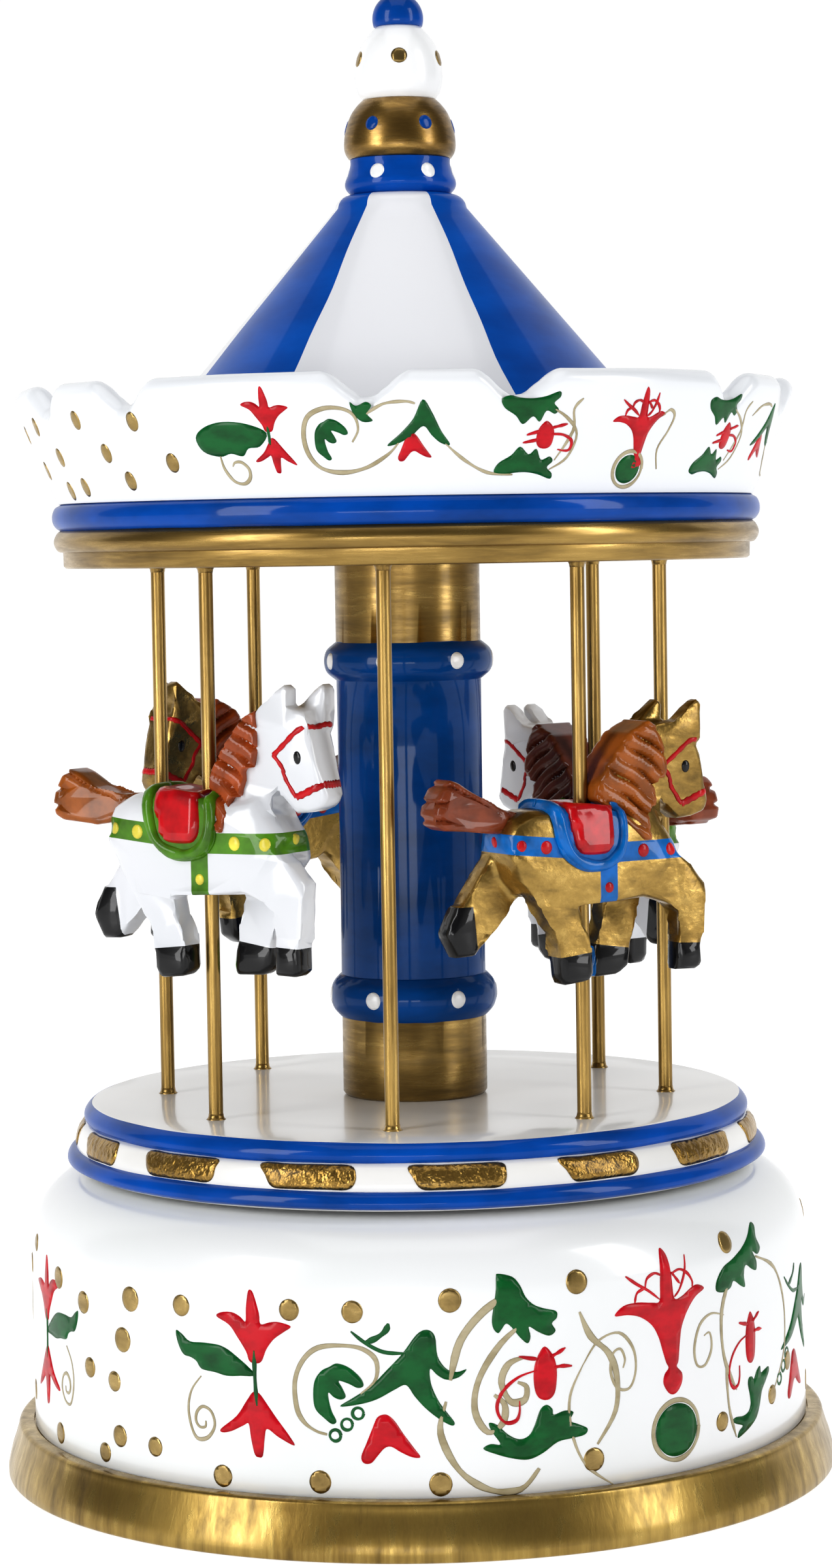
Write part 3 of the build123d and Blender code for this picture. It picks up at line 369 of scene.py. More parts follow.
class Lining:
    """Painted shapes of one colour on a turned surface, gathered into one mesh."""

    def __init__(self, radius_at):
        self.mesh = bmesh.new()
        self.radius_at = radius_at

    def point(self, middle, across, height, lift):
        """A vertex `across` mm round from the angle `middle`, at a height, `lift` mm off the surface."""
        radius = self.radius_at(height)
        slope = (self.radius_at(height + 0.05) - self.radius_at(height - 0.05)) / 0.1
        angle = radians(middle - 90) + across / radius
        steep = hypot(1, slope)
        out, up = radius + lift / steep, height - lift * slope / steep
        return self.mesh.verts.new((out * MM * cos(angle), out * MM * sin(angle), up * MM))

    def patch(self, outline, middle, height, steps=4, lift=PAINT_LIFT, grid=0.9, turn=0.0, size=1.0, flip=1):
        """A filled shape inside a rounded outline."""
        rim = smooth_points(outline, steps, closed=True)
        swing = radians(turn)
        rim = [(size * flip * (x * cos(swing) - y * sin(swing)), size * (x * sin(swing) + y * cos(swing)))
               for x, y in rim]
        low = [min(p[axis] for p in rim) for axis in (0, 1)]
        high = [max(p[axis] for p in rim) for axis in (0, 1)]
        inner = []
        for i in range(1, int((high[0] - low[0]) / grid) + 1):
            for j in range(1, int((high[1] - low[1]) / grid) + 1):
                inner.append((low[0] + i * grid, low[1] + j * grid))
        inner = [p for p in inner if inside(p, rim) and gap(p, rim) > 0.35 * grid]
        flat = [Vector(p) for p in rim + inner]
        loop = [(k, (k + 1) % len(rim)) for k in range(len(rim))]
        spots, _, faces, origin, _, _ = delaunay_2d_cdt(flat, loop, [], 1, 1e-5)
        on_rim = [any(k < len(rim) for k in source) for source in origin]
        tops = [self.point(middle, p[0], height + p[1], lift * (0.35 if edge else 1))
                for p, edge in zip(spots, on_rim)]
        feet = [self.point(middle, p[0], height + p[1], -PAINT_SINK) for p in spots]
        used = {}
        for face in faces:
            self.mesh.faces.new([tops[k] for k in face])
            self.mesh.faces.new([feet[k] for k in reversed(face)])
            for a, b in zip(face, face[1:] + face[:1]):
                used[(a, b)] = True
        for a, b in used:
            if (b, a) not in used:
                self.mesh.faces.new((tops[b], tops[a], feet[a], feet[b]))
        for vert in [v for v in tops + feet if not v.link_faces]:
            self.mesh.verts.remove(vert)

    def stroke(self, path, middle, height, width=0.5, lift=0.07, steps=5, turn=0.0, size=1.0, flip=1,
               taper=True):
        """A brush line along a path, thinning towards its ends."""
        swing = radians(turn)
        line = [(size * flip * (x * cos(swing) - y * sin(swing)), size * (x * sin(swing) + y * cos(swing)))
                for x, y in smooth_points(path, steps)]
        rings = []
        for index, (x, y) in enumerate(line):
            ahead, behind = line[min(index + 1, len(line) - 1)], line[max(index - 1, 0)]
            along = Vector((ahead[0] - behind[0], ahead[1] - behind[1])).normalized()
            part = index / (len(line) - 1)
            half = width / 2 * (0.45 + 0.55 * min(1, 5 * part, 5 * (1 - part)) if taper else 1)
            half *= 1 + 0.18 * sin(9 * part + x)
            ring = []
            for side, rise in ((-1, 0.2), (-0.55, 0.9), (0, 1), (0.55, 0.9), (1, 0.2), (0, -1.2)):
                ring.append(self.point(
                    middle, x - along.y * side * half, height + y + along.x * side * half, lift * rise
                ))
            rings.append(ring)
        for first, second in zip(rings, rings[1:]):
            for k in range(6):
                self.mesh.faces.new((first[k], first[(k + 1) % 6], second[(k + 1) % 6], second[k]))
        self.mesh.faces.new(rings[0][::-1])
        self.mesh.faces.new(rings[-1])

    def dot(self, middle, height, wide, tall):
        """A round touch of paint, domed."""
        ring = [(wide / 2 * cos(pi * k / 4), tall / 2 * sin(pi * k / 4)) for k in range(8)]
        self.patch(ring, middle, height, steps=3, grid=0.45)


def inside(point, rim):
    """Whether a point lies inside a closed outline."""
    within = False
    for (x1, y1), (x2, y2) in zip(rim, rim[1:] + rim[:1]):
        if (y1 > point[1]) != (y2 > point[1]) and point[0] < (x2 - x1) * (point[1] - y1) / (y2 - y1) + x1:
            within = not within
    return within


def gap(point, rim):
    """Distance from a point to the nearest corner of an outline."""
    return min(hypot(point[0] - x, point[1] - y) for x, y in rim)


TULIP_UP = [
    (-0.7, 0.1), (-1.2, 1.4), (-2.5, 3.3), (-3.7, 4.8), (-5.6, 5.8), (-4.8, 6.4), (-3.2, 6.5), (-2.0, 6.0),
    (-1.2, 5.4), (-1.1, 7.2), (-0.8, 9.3), (-0.4, 9.7), (0.1, 9.0), (0.8, 6.6), (1.0, 5.2), (2.3, 5.5),
    (3.6, 5.6), (5.3, 5.1), (4.3, 4.3), (2.9, 3.3), (1.8, 1.9), (1.1, 0.3), (0.4, -0.1),
]
TULIP_DOWN = [
    (-0.3, 0.0), (-1.3, -1.3), (-2.8, -3.4), (-5.2, -5.3), (-5.0, -5.8), (-3.6, -5.5), (-1.8, -4.6),
    (-1.0, -4.3), (-0.7, -6.2), (-0.2, -8.3), (0.4, -8.7), (1.0, -8.4), (1.3, -6.0), (1.7, -4.8),
    (3.3, -5.8), (5.5, -6.8), (4.8, -5.5), (3.0, -3.2), (1.6, -1.3), (0.6, -0.1),
]
STEM_LEAF = [
    (0, 0.2), (-2.9, 2.3), (-5.2, 3.3), (-7.9, 3.3), (-10.2, 3.1), (-11.6, 3.9), (-12.6, 4.2), (-12.2, 2.6),
    (-11.2, 1.2), (-10.0, 1.0), (-9.0, 0.6), (-8.1, -0.3), (-6.0, -0.4), (-4.2, -0.6), (-2.1, -0.3),
]
TENDRIL = [
    (-8.2, -0.5), (-9.8, -2.5), (-10.4, -4.9), (-10.0, -7.4), (-9.0, -9.0), (-7.3, -8.7), (-6.2, -7.0),
    (-6.7, -5.2), (-8.0, -4.6), (-9.0, -5.4), (-9.2, -6.6), (-8.6, -7.4), (-7.7, -7.3), (-7.6, -6.5),
]
COMMA_SCROLL = [
    (3.4, -0.9), (5.4, 1.0), (5.5, 3.6), (3.7, 5.1), (0.9, 5.5), (-2.3, 5.1), (-4.4, 3.3), (-5.5, 0.5),
    (-5.3, -3.0), (-4.3, -4.9), (-2.7, -6.0), (-1.2, -6.4),
]
COMMA_LEAF = [
    (0.3, 3.4), (1.9, 2.9), (3.4, 1.6), (3.8, 0.5), (3.0, 0.2), (1.9, 0.7), (0.5, 1.1), (1.0, 0.1),
    (1.4, -1.0), (0.7, -1.4), (-0.2, -1.1), (-0.9, -0.5), (-0.9, -1.4), (-0.5, -3.0), (0.1, -4.3),
    (-0.5, -4.7), (-1.6, -3.9), (-2.7, -2.8), (-3.0, -1.2), (-2.8, 0.9), (-1.9, 2.3), (-0.8, 2.9),
]
PEAK_LEAF = [
    (0.2, 0.2), (1.2, -0.7), (1.5, -3.3), (2.6, -5.0), (4.0, -5.5), (5.3, -5.2), (4.3, -6.2), (2.7, -6.5),
    (1.5, -5.9), (0.5, -5.0), (0.6, -7.0), (1.5, -9.2), (2.6, -10.8), (3.6, -12.2), (3.2, -12.6),
    (1.6, -11.7), (-0.2, -10.2), (-1.6, -8.6), (-2.7, -7.1), (-4.2, -7.7), (-6.6, -9.0), (-9.0, -9.7),
    (-11.5, -10.0), (-9.7, -8.8), (-7.3, -7.2), (-5.2, -5.1), (-3.1, -2.9), (-1.2, -0.4),
]
HEART = [
    (0, 0), (-0.9, -0.4), (-1.5, -1.7), (-2.4, -3.9), (-3.1, -5.6), (-2.8, -6.5), (-1.8, -6.5), (-0.9, -5.5),
    (0.0, -4.5), (0.9, -4.3), (2.1, -5.0), (3.6, -5.7), (4.7, -5.7), (3.9, -4.5), (2.6, -2.7), (1.5, -1.0),
    (0.7, -0.2),
]
HOLLY_TOP = [
    (0, 0), (1.9, -0.5), (2.9, -1.7), (3.6, -3.2), (4.7, -4.3), (6.1, -4.9), (7.8, -5.4), (7.9, -6.3),
    (7.2, -7.0), (7.7, -8.0), (6.8, -8.6), (5.3, -8.0), (4.0, -7.2), (4.2, -8.5), (3.8, -9.4), (2.8, -8.6),
    (1.7, -7.2), (0.9, -6.6), (0.3, -7.3), (-0.2, -7.8), (-0.8, -7.2), (-1.0, -6.0), (-0.7, -4.0),
    (-0.4, -2.0), (-0.3, -0.4),
]
HOLLY_LOW = [
    (-7.2, -1.4), (-6.2, -0.8), (-4.9, -0.9), (-6.0, 0.8), (-6.4, 2.0), (-5.3, 1.7), (-3.8, 0.3),
    (-2.3, -0.4), (-1.0, 0.0), (-0.2, 1.3), (0.6, 3.3), (1.5, 3.9), (2.3, 3.3), (2.5, 2.5), (4.0, 2.9),
    (5.3, 2.6), (4.8, 1.5), (6.0, 0.9), (7.3, 0.2), (6.9, -0.6), (5.0, -0.9), (3.0, -1.2), (0.9, -2.5),
    (-1.1, -3.2), (-3.3, -2.9), (-5.5, -2.2),
]
HOLLY_SIDE = [
    (4.7, 4.3), (5.5, 3.9), (4.9, 2.4), (5.5, 0.9), (4.6, 0.1), (3.3, 0.7), (4.3, -0.8), (4.2, -2.0),
    (3.0, -1.7), (1.4, -0.9), (0.9, -2.2), (1.2, -3.8), (0.2, -3.6), (-1.6, -2.6), (-2.3, -3.4),
    (-3.8, -3.8), (-5.5, -3.4), (-5.4, -2.0), (-4.0, -0.4), (-1.9, 0.4), (0.6, 1.5), (2.6, 2.7),
]
BERRY = [
    (0, 3.6), (-0.9, 2.6), (-1.5, 1.0), (-1.6, -1.0), (-1.3, -2.6), (-0.6, -3.4), (0.5, -3.5), (1.3, -2.7),
    (1.6, -1.0), (1.6, 0.8), (1.1, 2.4),
]
BERRY_TENDRILS = [
    [(-1.0, 2.0), (-2.2, 2.2), (-3.6, 2.5)],
    [(0.9, 2.2), (1.8, 2.6), (2.9, 3.2)],
    [(1.2, 0.7), (2.4, 0.8), (3.8, 0.7)],
    [(-1.2, 0.5), (-3.6, -0.2), (-5.6, -1.7), (-6.6, -3.6), (-6.4, -5.2), (-5.4, -6.2), (-4.1, -6.0),
     (-3.6, -4.9), (-3.6, -3.4)],
]
TRUMPET = [
    (-8.6, -0.9), (-7.2, 0.3), (-4.9, 0.5), (-2.6, 0.2), (-1.3, 0.3), (-1.2, 3.0), (-0.9, 6.0), (-0.5, 7.2),
    (0.1, 6.7), (0.5, 5.5), (0.9, 2.6), (1.3, 0.3), (2.6, 0.4), (4.3, 1.3), (5.6, 1.6), (6.9, 0.9),
    (5.2, 0.0), (3.7, -1.6), (2.6, -3.6), (2.2, -5.6), (1.9, -8.2), (1.6, -9.0), (2.5, -10.0), (2.5, -11.2),
    (1.8, -12.3), (0.9, -12.7), (0.0, -12.3), (-0.8, -11.0), (-0.6, -9.8), (0.1, -9.0), (-0.3, -8.2),
    (-0.9, -6.5), (-1.6, -4.5), (-2.7, -2.8), (-4.6, -1.5), (-6.6, -1.0),
]
STAMENS = [
    [(-1.3, 0.5), (-3.2, 1.9), (-5.1, 3.0), (-6.8, 4.2)],
    [(-5.4, 0.5), (-5.0, 1.8), (-3.6, 2.3)],
    [(-3.7, 2.2), (-3.4, 3.5), (-2.1, 4.1), (-1.0, 3.7)],
    [(0.8, 3.7), (2.3, 4.1), (3.7, 3.4), (4.6, 2.2), (4.6, 1.4)],
    [(1.3, 0.5), (2.3, 1.5), (3.2, 3.7), (3.5, 5.9)],
    [(0.8, 3.9), (2.3, 2.2)],
]
OVAL = [(3.7 * cos(pi * k / 6), 3.6 * sin(pi * k / 6)) for k in range(12)]
OVAL_RIM = [(4.1 * cos(pi * k / 8), 4.05 * sin(pi * k / 8)) for k in range(17)]

drum_red, drum_green = Lining(drum_radius), Lining(drum_radius)
drum_scrolls, drum_dots = Lining(drum_radius), Lining(drum_radius)


def tulips(at, size=1.0, flip=1, drop=0.0, lean=1.0):
    """Two tulips on one stem, one up and one down, a leaf and a curled tendril at the side."""
    place = {"size": size, "flip": flip}
    mid = 23.3 + drop
    drum_red.patch(TULIP_UP, at, mid + 2.0 * size, **place)
    drum_red.patch(TULIP_DOWN, at, mid - 2.0 * size, **place)
    drum_green.stroke([(0, 3.6), (0, 1), (0.1, -1.5), (0.3, -3.8)], at, mid, width=0.6, lift=0.13, **place)
    drum_green.patch(STEM_LEAF, at, mid + 0.2, turn=-4 * lean, **place)
    drum_scrolls.stroke(TENDRIL, at, mid, **place)


def peak_and_heart(at):
    """The pointed leaf with a sprig, a chain of loops and a red heart under it."""
    drum_green.patch(PEAK_LEAF, at, 30.0)
    drum_green.stroke([(-2.8, -2.9), (-5.6, -2.7), (-8.0, -1.5), (-9.9, 0.0)], at, 30.0, width=0.6)
    drum_green.stroke([(-8.2, -1.5), (-6.6, -0.9), (-5.3, 0.1), (-4.9, 1.1)], at, 30.0, width=0.75)
    for across, up in ((-9.1, -10.9), (-10.6, -12.4), (-12.2, -13.9)):
        loop = [(across + 0.75 * cos(pi * k / 4), up + 0.75 * sin(pi * k / 4)) for k in range(9)]
        drum_green.stroke(loop, at, 30.0, width=0.42, taper=False)
    drum_red.patch(HEART, at - 5.8, 19.0)


def comma(at):
    """A comma-shaped leaf curled inside a gold scroll."""
    drum_green.patch(COMMA_LEAF, at, 22.3)
    drum_scrolls.stroke(COMMA_SCROLL, at, 22.6, width=0.62)


def holly(at, upper=HOLLY_TOP, narrow=1.0, flip=1):
    """A red berry with tendrils between two holly leaves."""
    if upper is HOLLY_TOP:
        drum_green.patch(HOLLY_TOP, at - 6.3 * flip, 37.2, flip=flip)
        drum_green.patch(HOLLY_LOW, at - 1.4 * flip, 15.5, flip=flip)
    else:
        drum_green.patch(HOLLY_SIDE, at - 2.5 * flip, 34.7, flip=flip)
        drum_green.patch(HOLLY_LOW, at + 0.5 * flip, 14.8, turn=38, size=0.82, flip=flip)
    drum_red.patch([(x * narrow, y) for x, y in BERRY], at, 23.6, flip=flip)
    for tendril in BERRY_TENDRILS:
        drum_red.stroke([(x * narrow, y) for x, y in tendril], at, 23.6, width=0.5, lift=0.12, flip=flip)


def trumpet(at):
    """A trumpet flower with stamens, over a green oval ringed in gold, a pale spiral at each side."""
    drum_red.patch(TRUMPET, at, 31.2)
    for stamen in STAMENS:
        drum_red.stroke(stamen, at, 31.2, width=0.4, lift=0.10)
    drum_green.patch(OVAL, at + 1.5, 13.6)
    drum_scrolls.stroke(OVAL_RIM, at + 1.5, 13.6, width=0.65, lift=0.08, taper=False)
    drum_scrolls.stroke([(-13.5, 12.0), (-11.2, 15.0), (-8.0, 15.8), (-5.8, 13.5), (-5.4, 10.5), (-6.4, 8.2),
                         (-8.3, 8.4), (-9.3, 10.6), (-9.0, 13.0), (-7.8, 13.6), (-7.1, 12.2), (-7.4, 11.0)],
                        at, 12.2, width=0.42)
    drum_scrolls.stroke([(-13.5, 12.0), (-15.4, 8.0), (-15.2, 3.2), (-13.2, -1.4), (-9.0, -4.6)], at, 12.2,
                        width=0.42)
    drum_scrolls.stroke([(11.0, 15.6), (8.3, 16.2), (6.0, 15.0), (4.9, 12.0), (5.4, 9.6), (7.0, 9.4),
                         (8.3, 11.4), (8.0, 13.6), (6.8, 13.4)], at, 12.2, width=0.42)


def gold_arcs(at):
    """The large gold scrolls behind a holly group."""
    drum_scrolls.stroke([(-4.2, 14.6), (-8.0, 12.6), (-11.4, 8.6), (-12.8, 3.4)], at, 20.0, width=0.94)
    drum_scrolls.stroke([(-2.2, 11.0), (-6.0, 8.0), (-9.0, 3.4), (-9.6, -0.8), (-7.9, -3.7), (-5.9, -2.6),
                         (-5.6, -0.2), (-7.0, 1.2)], at, 20.0, width=0.84)
    drum_scrolls.stroke([(-13.4, 0.6), (-14.2, -3.6), (-11.8, -8.6), (-7.8, -11.4), (-3.6, -11.6),
                         (-1.0, -9.0)], at, 20.0, width=0.89)
    drum_scrolls.stroke([(5.0, 11.4), (6.6, 8.0), (9.3, 5.4), (10.5, 2.0), (10.2, -2.4), (7.4, -6.6)],
                        at, 20.0, width=0.89)
    drum_scrolls.stroke([(-2.8, 6.0), (-5.0, 5.2), (-6.0, 2.8), (-4.8, 0.2), (-2.9, 0.3), (-2.6, 2.0),
                         (-3.8, 2.7)], at, 20.0, width=0.94)


tulips(-23)
comma(-11.5)
peak_and_heart(0.9)
gold_arcs(17.2)
holly(17.2)
trumpet(36.5)
drum_scrolls.stroke([(-4.2, 12.0), (-6.8, 6.5), (-6.4, 0.0), (-3.6, -5.0)], 54.3, 22.0, width=0.68)
drum_scrolls.stroke([(-6.0, -1.0), (-5.4, -7.0), (-3.8, -11.5)], 54.3, 22.0, width=0.54)
drum_scrolls.stroke([(1.6, 12.6), (7.5, 10.0), (11.0, 4.5), (11.0, -2.0), (7.0, -7.0)], 54.3, 22.0,
                    width=0.54)
holly(54.3, upper=HOLLY_SIDE, narrow=0.8)
peak_and_heart(76)
tulips(-69, size=0.95, flip=-1)
comma(96)
tulips(108, flip=-1)
trumpet(160)
holly(141, upper=HOLLY_SIDE, narrow=0.8, flip=-1)
gold_arcs(181)
holly(181)
peak_and_heart(203)
tulips(226)
holly(254, upper=HOLLY_SIDE, narrow=0.8)
comma(270)
for at, height, wide in (
    (-75.5, 35.0, 2.4), (-63.5, 32.0, 3.0), (-55.5, 29.8, 3.0), (-46.0, 26.0, 3.3), (-44.2, 31.8, 3.3),
    (-54.0, 21.0, 2.7), (-48.0, 20.0, 2.7), (-47.0, 12.6, 2.9), (-64.0, 10.0, 2.9), (-50.5, 9.8, 2.6),
    (-39.8, 12.2, 2.6), (-34.6, 32.0, 2.8), (-17.8, 32.6, 2.8), (-9.0, 32.6, 2.9), (-28.2, 9.6, 2.9),
    (-13.8, 9.8, 3.0), (4.2, 34.0, 3.1), (22.0, 35.4, 3.1), (2.6, 9.6, 3.1), (24.2, 11.4, 3.1),
    (47.2, 13.2, 2.6), (60.8, 14.4, 2.6), (49.0, 37.5, 2.8), (67.0, 18.0, 2.6), (88.0, 36.0, 2.8),
    (120.0, 30.0, 3.0), (124.0, 22.0, 3.0), (119.0, 13.0, 2.8), (128.0, 36.0, 3.0), (131.0, 11.0, 2.8),
    (170.0, 36.0, 3.0), (191.0, 37.0, 2.8), (193.0, 12.0, 3.0), (212.0, 36.0, 2.8), (237.0, 34.0, 3.0),
    (240.0, 14.0, 3.0), (242.0, 24.0, 2.8), (262.0, 36.0, 3.0), (262.0, 12.0, 2.8), (278.0, 31.0, 2.8),
    (280.0, 13.0, 2.8), (150.0, 10.5, 2.8), (104.0, 37.0, 2.8), (83.0, 12.0, 2.8),
):
    drum_dots.dot(at, height, wide, wide * 1.05)
show("drum_scrolls", drum_scrolls.mesh, [scroll_gold], "base")
show("drum_dots", drum_dots.mesh, [dot_gold], "base")
show("drum_leaves", drum_green.mesh, [green_paint], "base")
show("drum_flowers", drum_red.mesh, [red_paint], "base")

# ---- Underside and movement --------------------------------------------------------------------
# The board that closes the drum is bare beech with four plated screws. The key turns in the hollow under it.
# The movement inside is sheet and turned brass, plated steel shafts, and a comb of blued spring steel.


def beech(name):
    """Bare planed beech with its grain along x."""
    paint = Paint(name, roughness=0.55)
    grain = paint.noise((25, 500, 500), detail=6.0, distortion=0.8)
    flecks = paint.noise((160, 2500, 2500), detail=2.0)
    wood = paint.ramp(grain, [(0.3, colour(196, 158, 112)), (0.7, colour(226, 194, 150))])
    fleck_shade = paint.ramp(flecks, [(0.4, colour(150, 108, 68)), (0.6, colour(226, 194, 150))])
    paint.set("Base Color", paint.mix(0.25, wood, fleck_shade))
    paint.bump(grain, 0.25, 0.0001)
    return paint.material


def metal_finish(name, light, dark, roughness, grain):
    """Worn sheet or turned metal, brushed along its length."""
    paint = Paint(name, roughness=roughness, metal=1.0)
    marks = paint.noise(grain, detail=5.0)
    paint.set("Base Color", paint.ramp(marks, [(0.3, colour(*dark)), (0.7, colour(*light))]))
    paint.set("Roughness", paint.ramp(marks, [(0.3, roughness + 0.14), (0.7, roughness - 0.06)]))
    paint.bump(marks, 0.15, 0.00005)
    return paint.material


def finish_nodes(material, *names):
    """Give CAD pieces that keep their own shape a finish."""
    for name in names:
        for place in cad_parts[name].material_slots:
            place.material = material


brass = metal_finish("brass", (214, 178, 104), (160, 124, 62), 0.30, (200, 1500, 1500))
plated_steel = metal_finish("plated_steel", (205, 205, 202), (140, 140, 140), 0.26, (1200, 1200, 200))
comb_steel = metal_finish("comb_steel", (130, 134, 146), (78, 80, 92), 0.32, (2200, 150, 400))
bare_beech = beech("bare_beech")
finish_nodes(bare_beech, "bottom_board", "finial_dowel")
finish_nodes(brass, "bedplate", "inner_bracket", "outer_bracket", "governor_bracket", "fan_frame",
             "comb_block", "spindle_bush", "spring_barrel", "crown_wheel", "music_cylinder",
             "cylinder_pinion", "end_wheel", "governor_pinion", "worm_wheel", "fan")
finish_nodes(plated_steel, "board_screws", "bed_screws", "comb_screws", "winding_key", "winding_arbor",
             "spindle", "spindle_nut", "cylinder_shaft", "governor_shaft", "worm")
finish_nodes(comb_steel, "comb", "mainspring")

# ---- Turning platform --------------------------------------------------------------------------
# A turned disc: white enamel top and lip, two rounds painted blue, and between them a white band with a row
# of gold patches, laid on thick so that they look like crumpled leaf.


def blue_enamel(name, base=(0, 78, 172), deep=(0, 58, 128)):
    """Satin blue enamel, clouded darker in places, with soft brush marks."""
    paint = Paint(name, roughness=0.35, coat=0.32, coat_roughness=0.07)
    paint.shader.inputs["Specular IOR Level"].default_value = 0.06
    clouds = paint.noise((70, 70, 160), detail=4.0)
    paint.set("Base Color", paint.ramp(clouds, [(0.3, colour(*deep)), (0.68, colour(*base))]))
    paint.bump(paint.noise((110, 110, 900), detail=3.0), 0.16, 0.0001)
    paint.bump(paint.noise((300, 300, 300), detail=2.0), 0.08, 0.0001)
    return paint.material


def banded(*bands):
    """Join (paint, points) bands into one profile, and return it with the paint of each step."""
    profile, paints = [], []
    for paint, points in bands:
        joined = profile and hypot(profile[-1][0] - points[0][0], profile[-1][1] - points[0][1]) <= 1e-6
        fresh = points[1:] if joined else points
        paints += [paint] * (len(fresh) if profile else len(fresh) - 1)
        profile += fresh
    return profile, paints + [bands[0][0]]


def radius_on(profile):
    """A function that gives the outer radius of a turned piece at a height."""
    def radius(height):
        best = None
        for (r1, z1), (r2, z2) in zip(profile, profile[1:]):
            if min(z1, z2) <= height <= max(z1, z2) and z1 != z2:
                here = r1 + (r2 - r1) * (height - z1) / (z2 - z1)
                best = here if best is None else max(best, here)
        return best if best is not None else profile[0][0]
    return radius


ring_blue = blue_enamel("ring_blue")
platform_white = white_enamel("platform_white", tint=(238, 237, 235), shadow=(232, 231, 228))
platform_low, platform_high = (corner[2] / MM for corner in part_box("platform"))
lower_round = smooth_points([(49.6, 44.9), (50.45, 45.4), (50.5, 46.2), (50.0, 47.0), (49.2, 47.35)], 5)
band_round = smooth_points([(49.2, 47.35), (49.15, 48.3), (48.85, 49.5), (48.35, 50.4), (47.6, 50.85)], 5)
upper_round = smooth_points([(47.6, 50.85), (48.0, 51.4), (48.0, 52.2), (47.5, 53.0), (46.9, 53.5)], 5)
platform_profile, platform_paints = banded(
    (0, [(1.5, platform_low), (30, platform_low), (48.6, platform_low), (49.2, platform_low + 0.1),
         (49.6, 44.9)]),
    (1, lower_round), (0, band_round), (1, upper_round),
    (0, [(46.9, 53.5), (46.5, platform_high), (38, platform_high), (26, platform_high), (11, platform_high),
         (1.5, platform_high)]),
)
edge_rows = [k for k in range(1, len(platform_paints)) if platform_paints[k] != platform_paints[k - 1]]
platform = show(
    "carousel_platform",
    turned(platform_profile, paint_of=lambda step, angle: platform_paints[step],
           edges=[(row, 0.10, 1.7 * row) for row in edge_rows]),
    [platform_white, ring_blue], "carousel", ["platform"],
)
crease(platform, 50)
foil_gold = gold_paint("foil_gold", (500, 500, 300), light=(206, 170, 98), mid=(150, 118, 56),
                       dark=(94, 70, 30), lumps=0.9)
PATCH_COUNT, FIRST_PATCH, PATCH_MID = 15, 6.7, 49.15
patches = Lining(radius_on(platform_profile))
for number in range(PATCH_COUNT):
    lean = 0.5 * sin(2.3 * number)
    wide = 6.3 + 0.35 * sin(4.1 * number)
    patches.patch(
        [(-wide - 0.3, 1.45), (-wide + 0.1 + lean, 0.0), (-wide + 1.2 + lean, -1.5), (-2.5, -1.66),
         (2.5, -1.60), (wide - 1.2, -1.6), (wide - 0.1, -0.9), (wide + 0.1, 0.4), (wide - 0.4 - lean, 1.45),
         (2.5, 1.55), (-2.5, 1.5)],
        FIRST_PATCH + number * 360 / PATCH_COUNT, PATCH_MID, lift=0.2, grid=0.6,
    )
show("platform_gold_patches", patches.mesh, [foil_gold], "carousel")

# ---- Column ------------------------------------------------------------------------------------
# A dowel with two turned beads, blue between and on the beads and gold at both ends, the wood's grain showing
# through the gold. White dots stand round both beads.
column_gold = gold_paint("column_gold", (90, 90, 700), light=(176, 148, 88), mid=(128, 102, 54),
                         dark=(84, 66, 34))
column_blue = blue_enamel("column_blue", base=(0, 72, 144), deep=(0, 56, 110))
column_low, column_high = platform_high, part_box("canopy_disc")[0][2] / MM
SHAFT_R = 10.45


def bead_round(middle, radius, half):
    """The outline of a turned bead with a small quirk at each side."""
    return smooth_points([(SHAFT_R, middle - half), (SHAFT_R + 0.35, middle - half + 0.25),
                          (radius - 0.35, middle - half * 0.55), (radius, middle),
                          (radius - 0.35, middle + half * 0.55), (SHAFT_R + 0.35, middle + half - 0.25),
                          (SHAFT_R, middle + half)], 5)


LOWER_BEAD, UPPER_BEAD = 68.1, 116.4
column_profile, column_paints = banded(
    (0, [(0.5, column_low), (SHAFT_R - 0.4, column_low), (SHAFT_R, column_low + 0.5), (SHAFT_R + 0.02, 59.5),
         (SHAFT_R, LOWER_BEAD - 3.1)]),
    (1, bead_round(LOWER_BEAD, 12.05, 3.1)),
    (1, [(SHAFT_R, LOWER_BEAD + 3.1), (10.4, 80), (10.38, 92), (10.4, 104), (SHAFT_R, UPPER_BEAD - 2.75)]),
    (1, bead_round(UPPER_BEAD, 12.2, 2.75)),
    (0, [(SHAFT_R, UPPER_BEAD + 2.75), (SHAFT_R, 125), (SHAFT_R, column_high), (0.5, column_high)]),
)
edge_rows = [k for k in range(1, len(column_paints)) if column_paints[k] != column_paints[k - 1]]
column = show(
    "carousel_column",
    turned(column_profile, around=160, paint_of=lambda step, angle: column_paints[step],
           edges=[(row, 0.12, 0.9 * row) for row in edge_rows]),
    [column_gold, column_blue], "carousel", ["column"],
)
crease(column, 60)
dot_white = white_enamel("dot_white", tint=(246, 246, 246), shadow=(236, 238, 240))
column_dots = Lining(radius_on(column_profile))
for k in range(6):
    column_dots.dot(-29 + 61 * k, LOWER_BEAD + 0.1, 2.35, 2.5)
for k in range(7):
    column_dots.dot(-68 + 51.4 * k, UPPER_BEAD + 0.1, 2.3, 2.4)
show("column_dots", column_dots.mesh, [dot_white], "carousel")

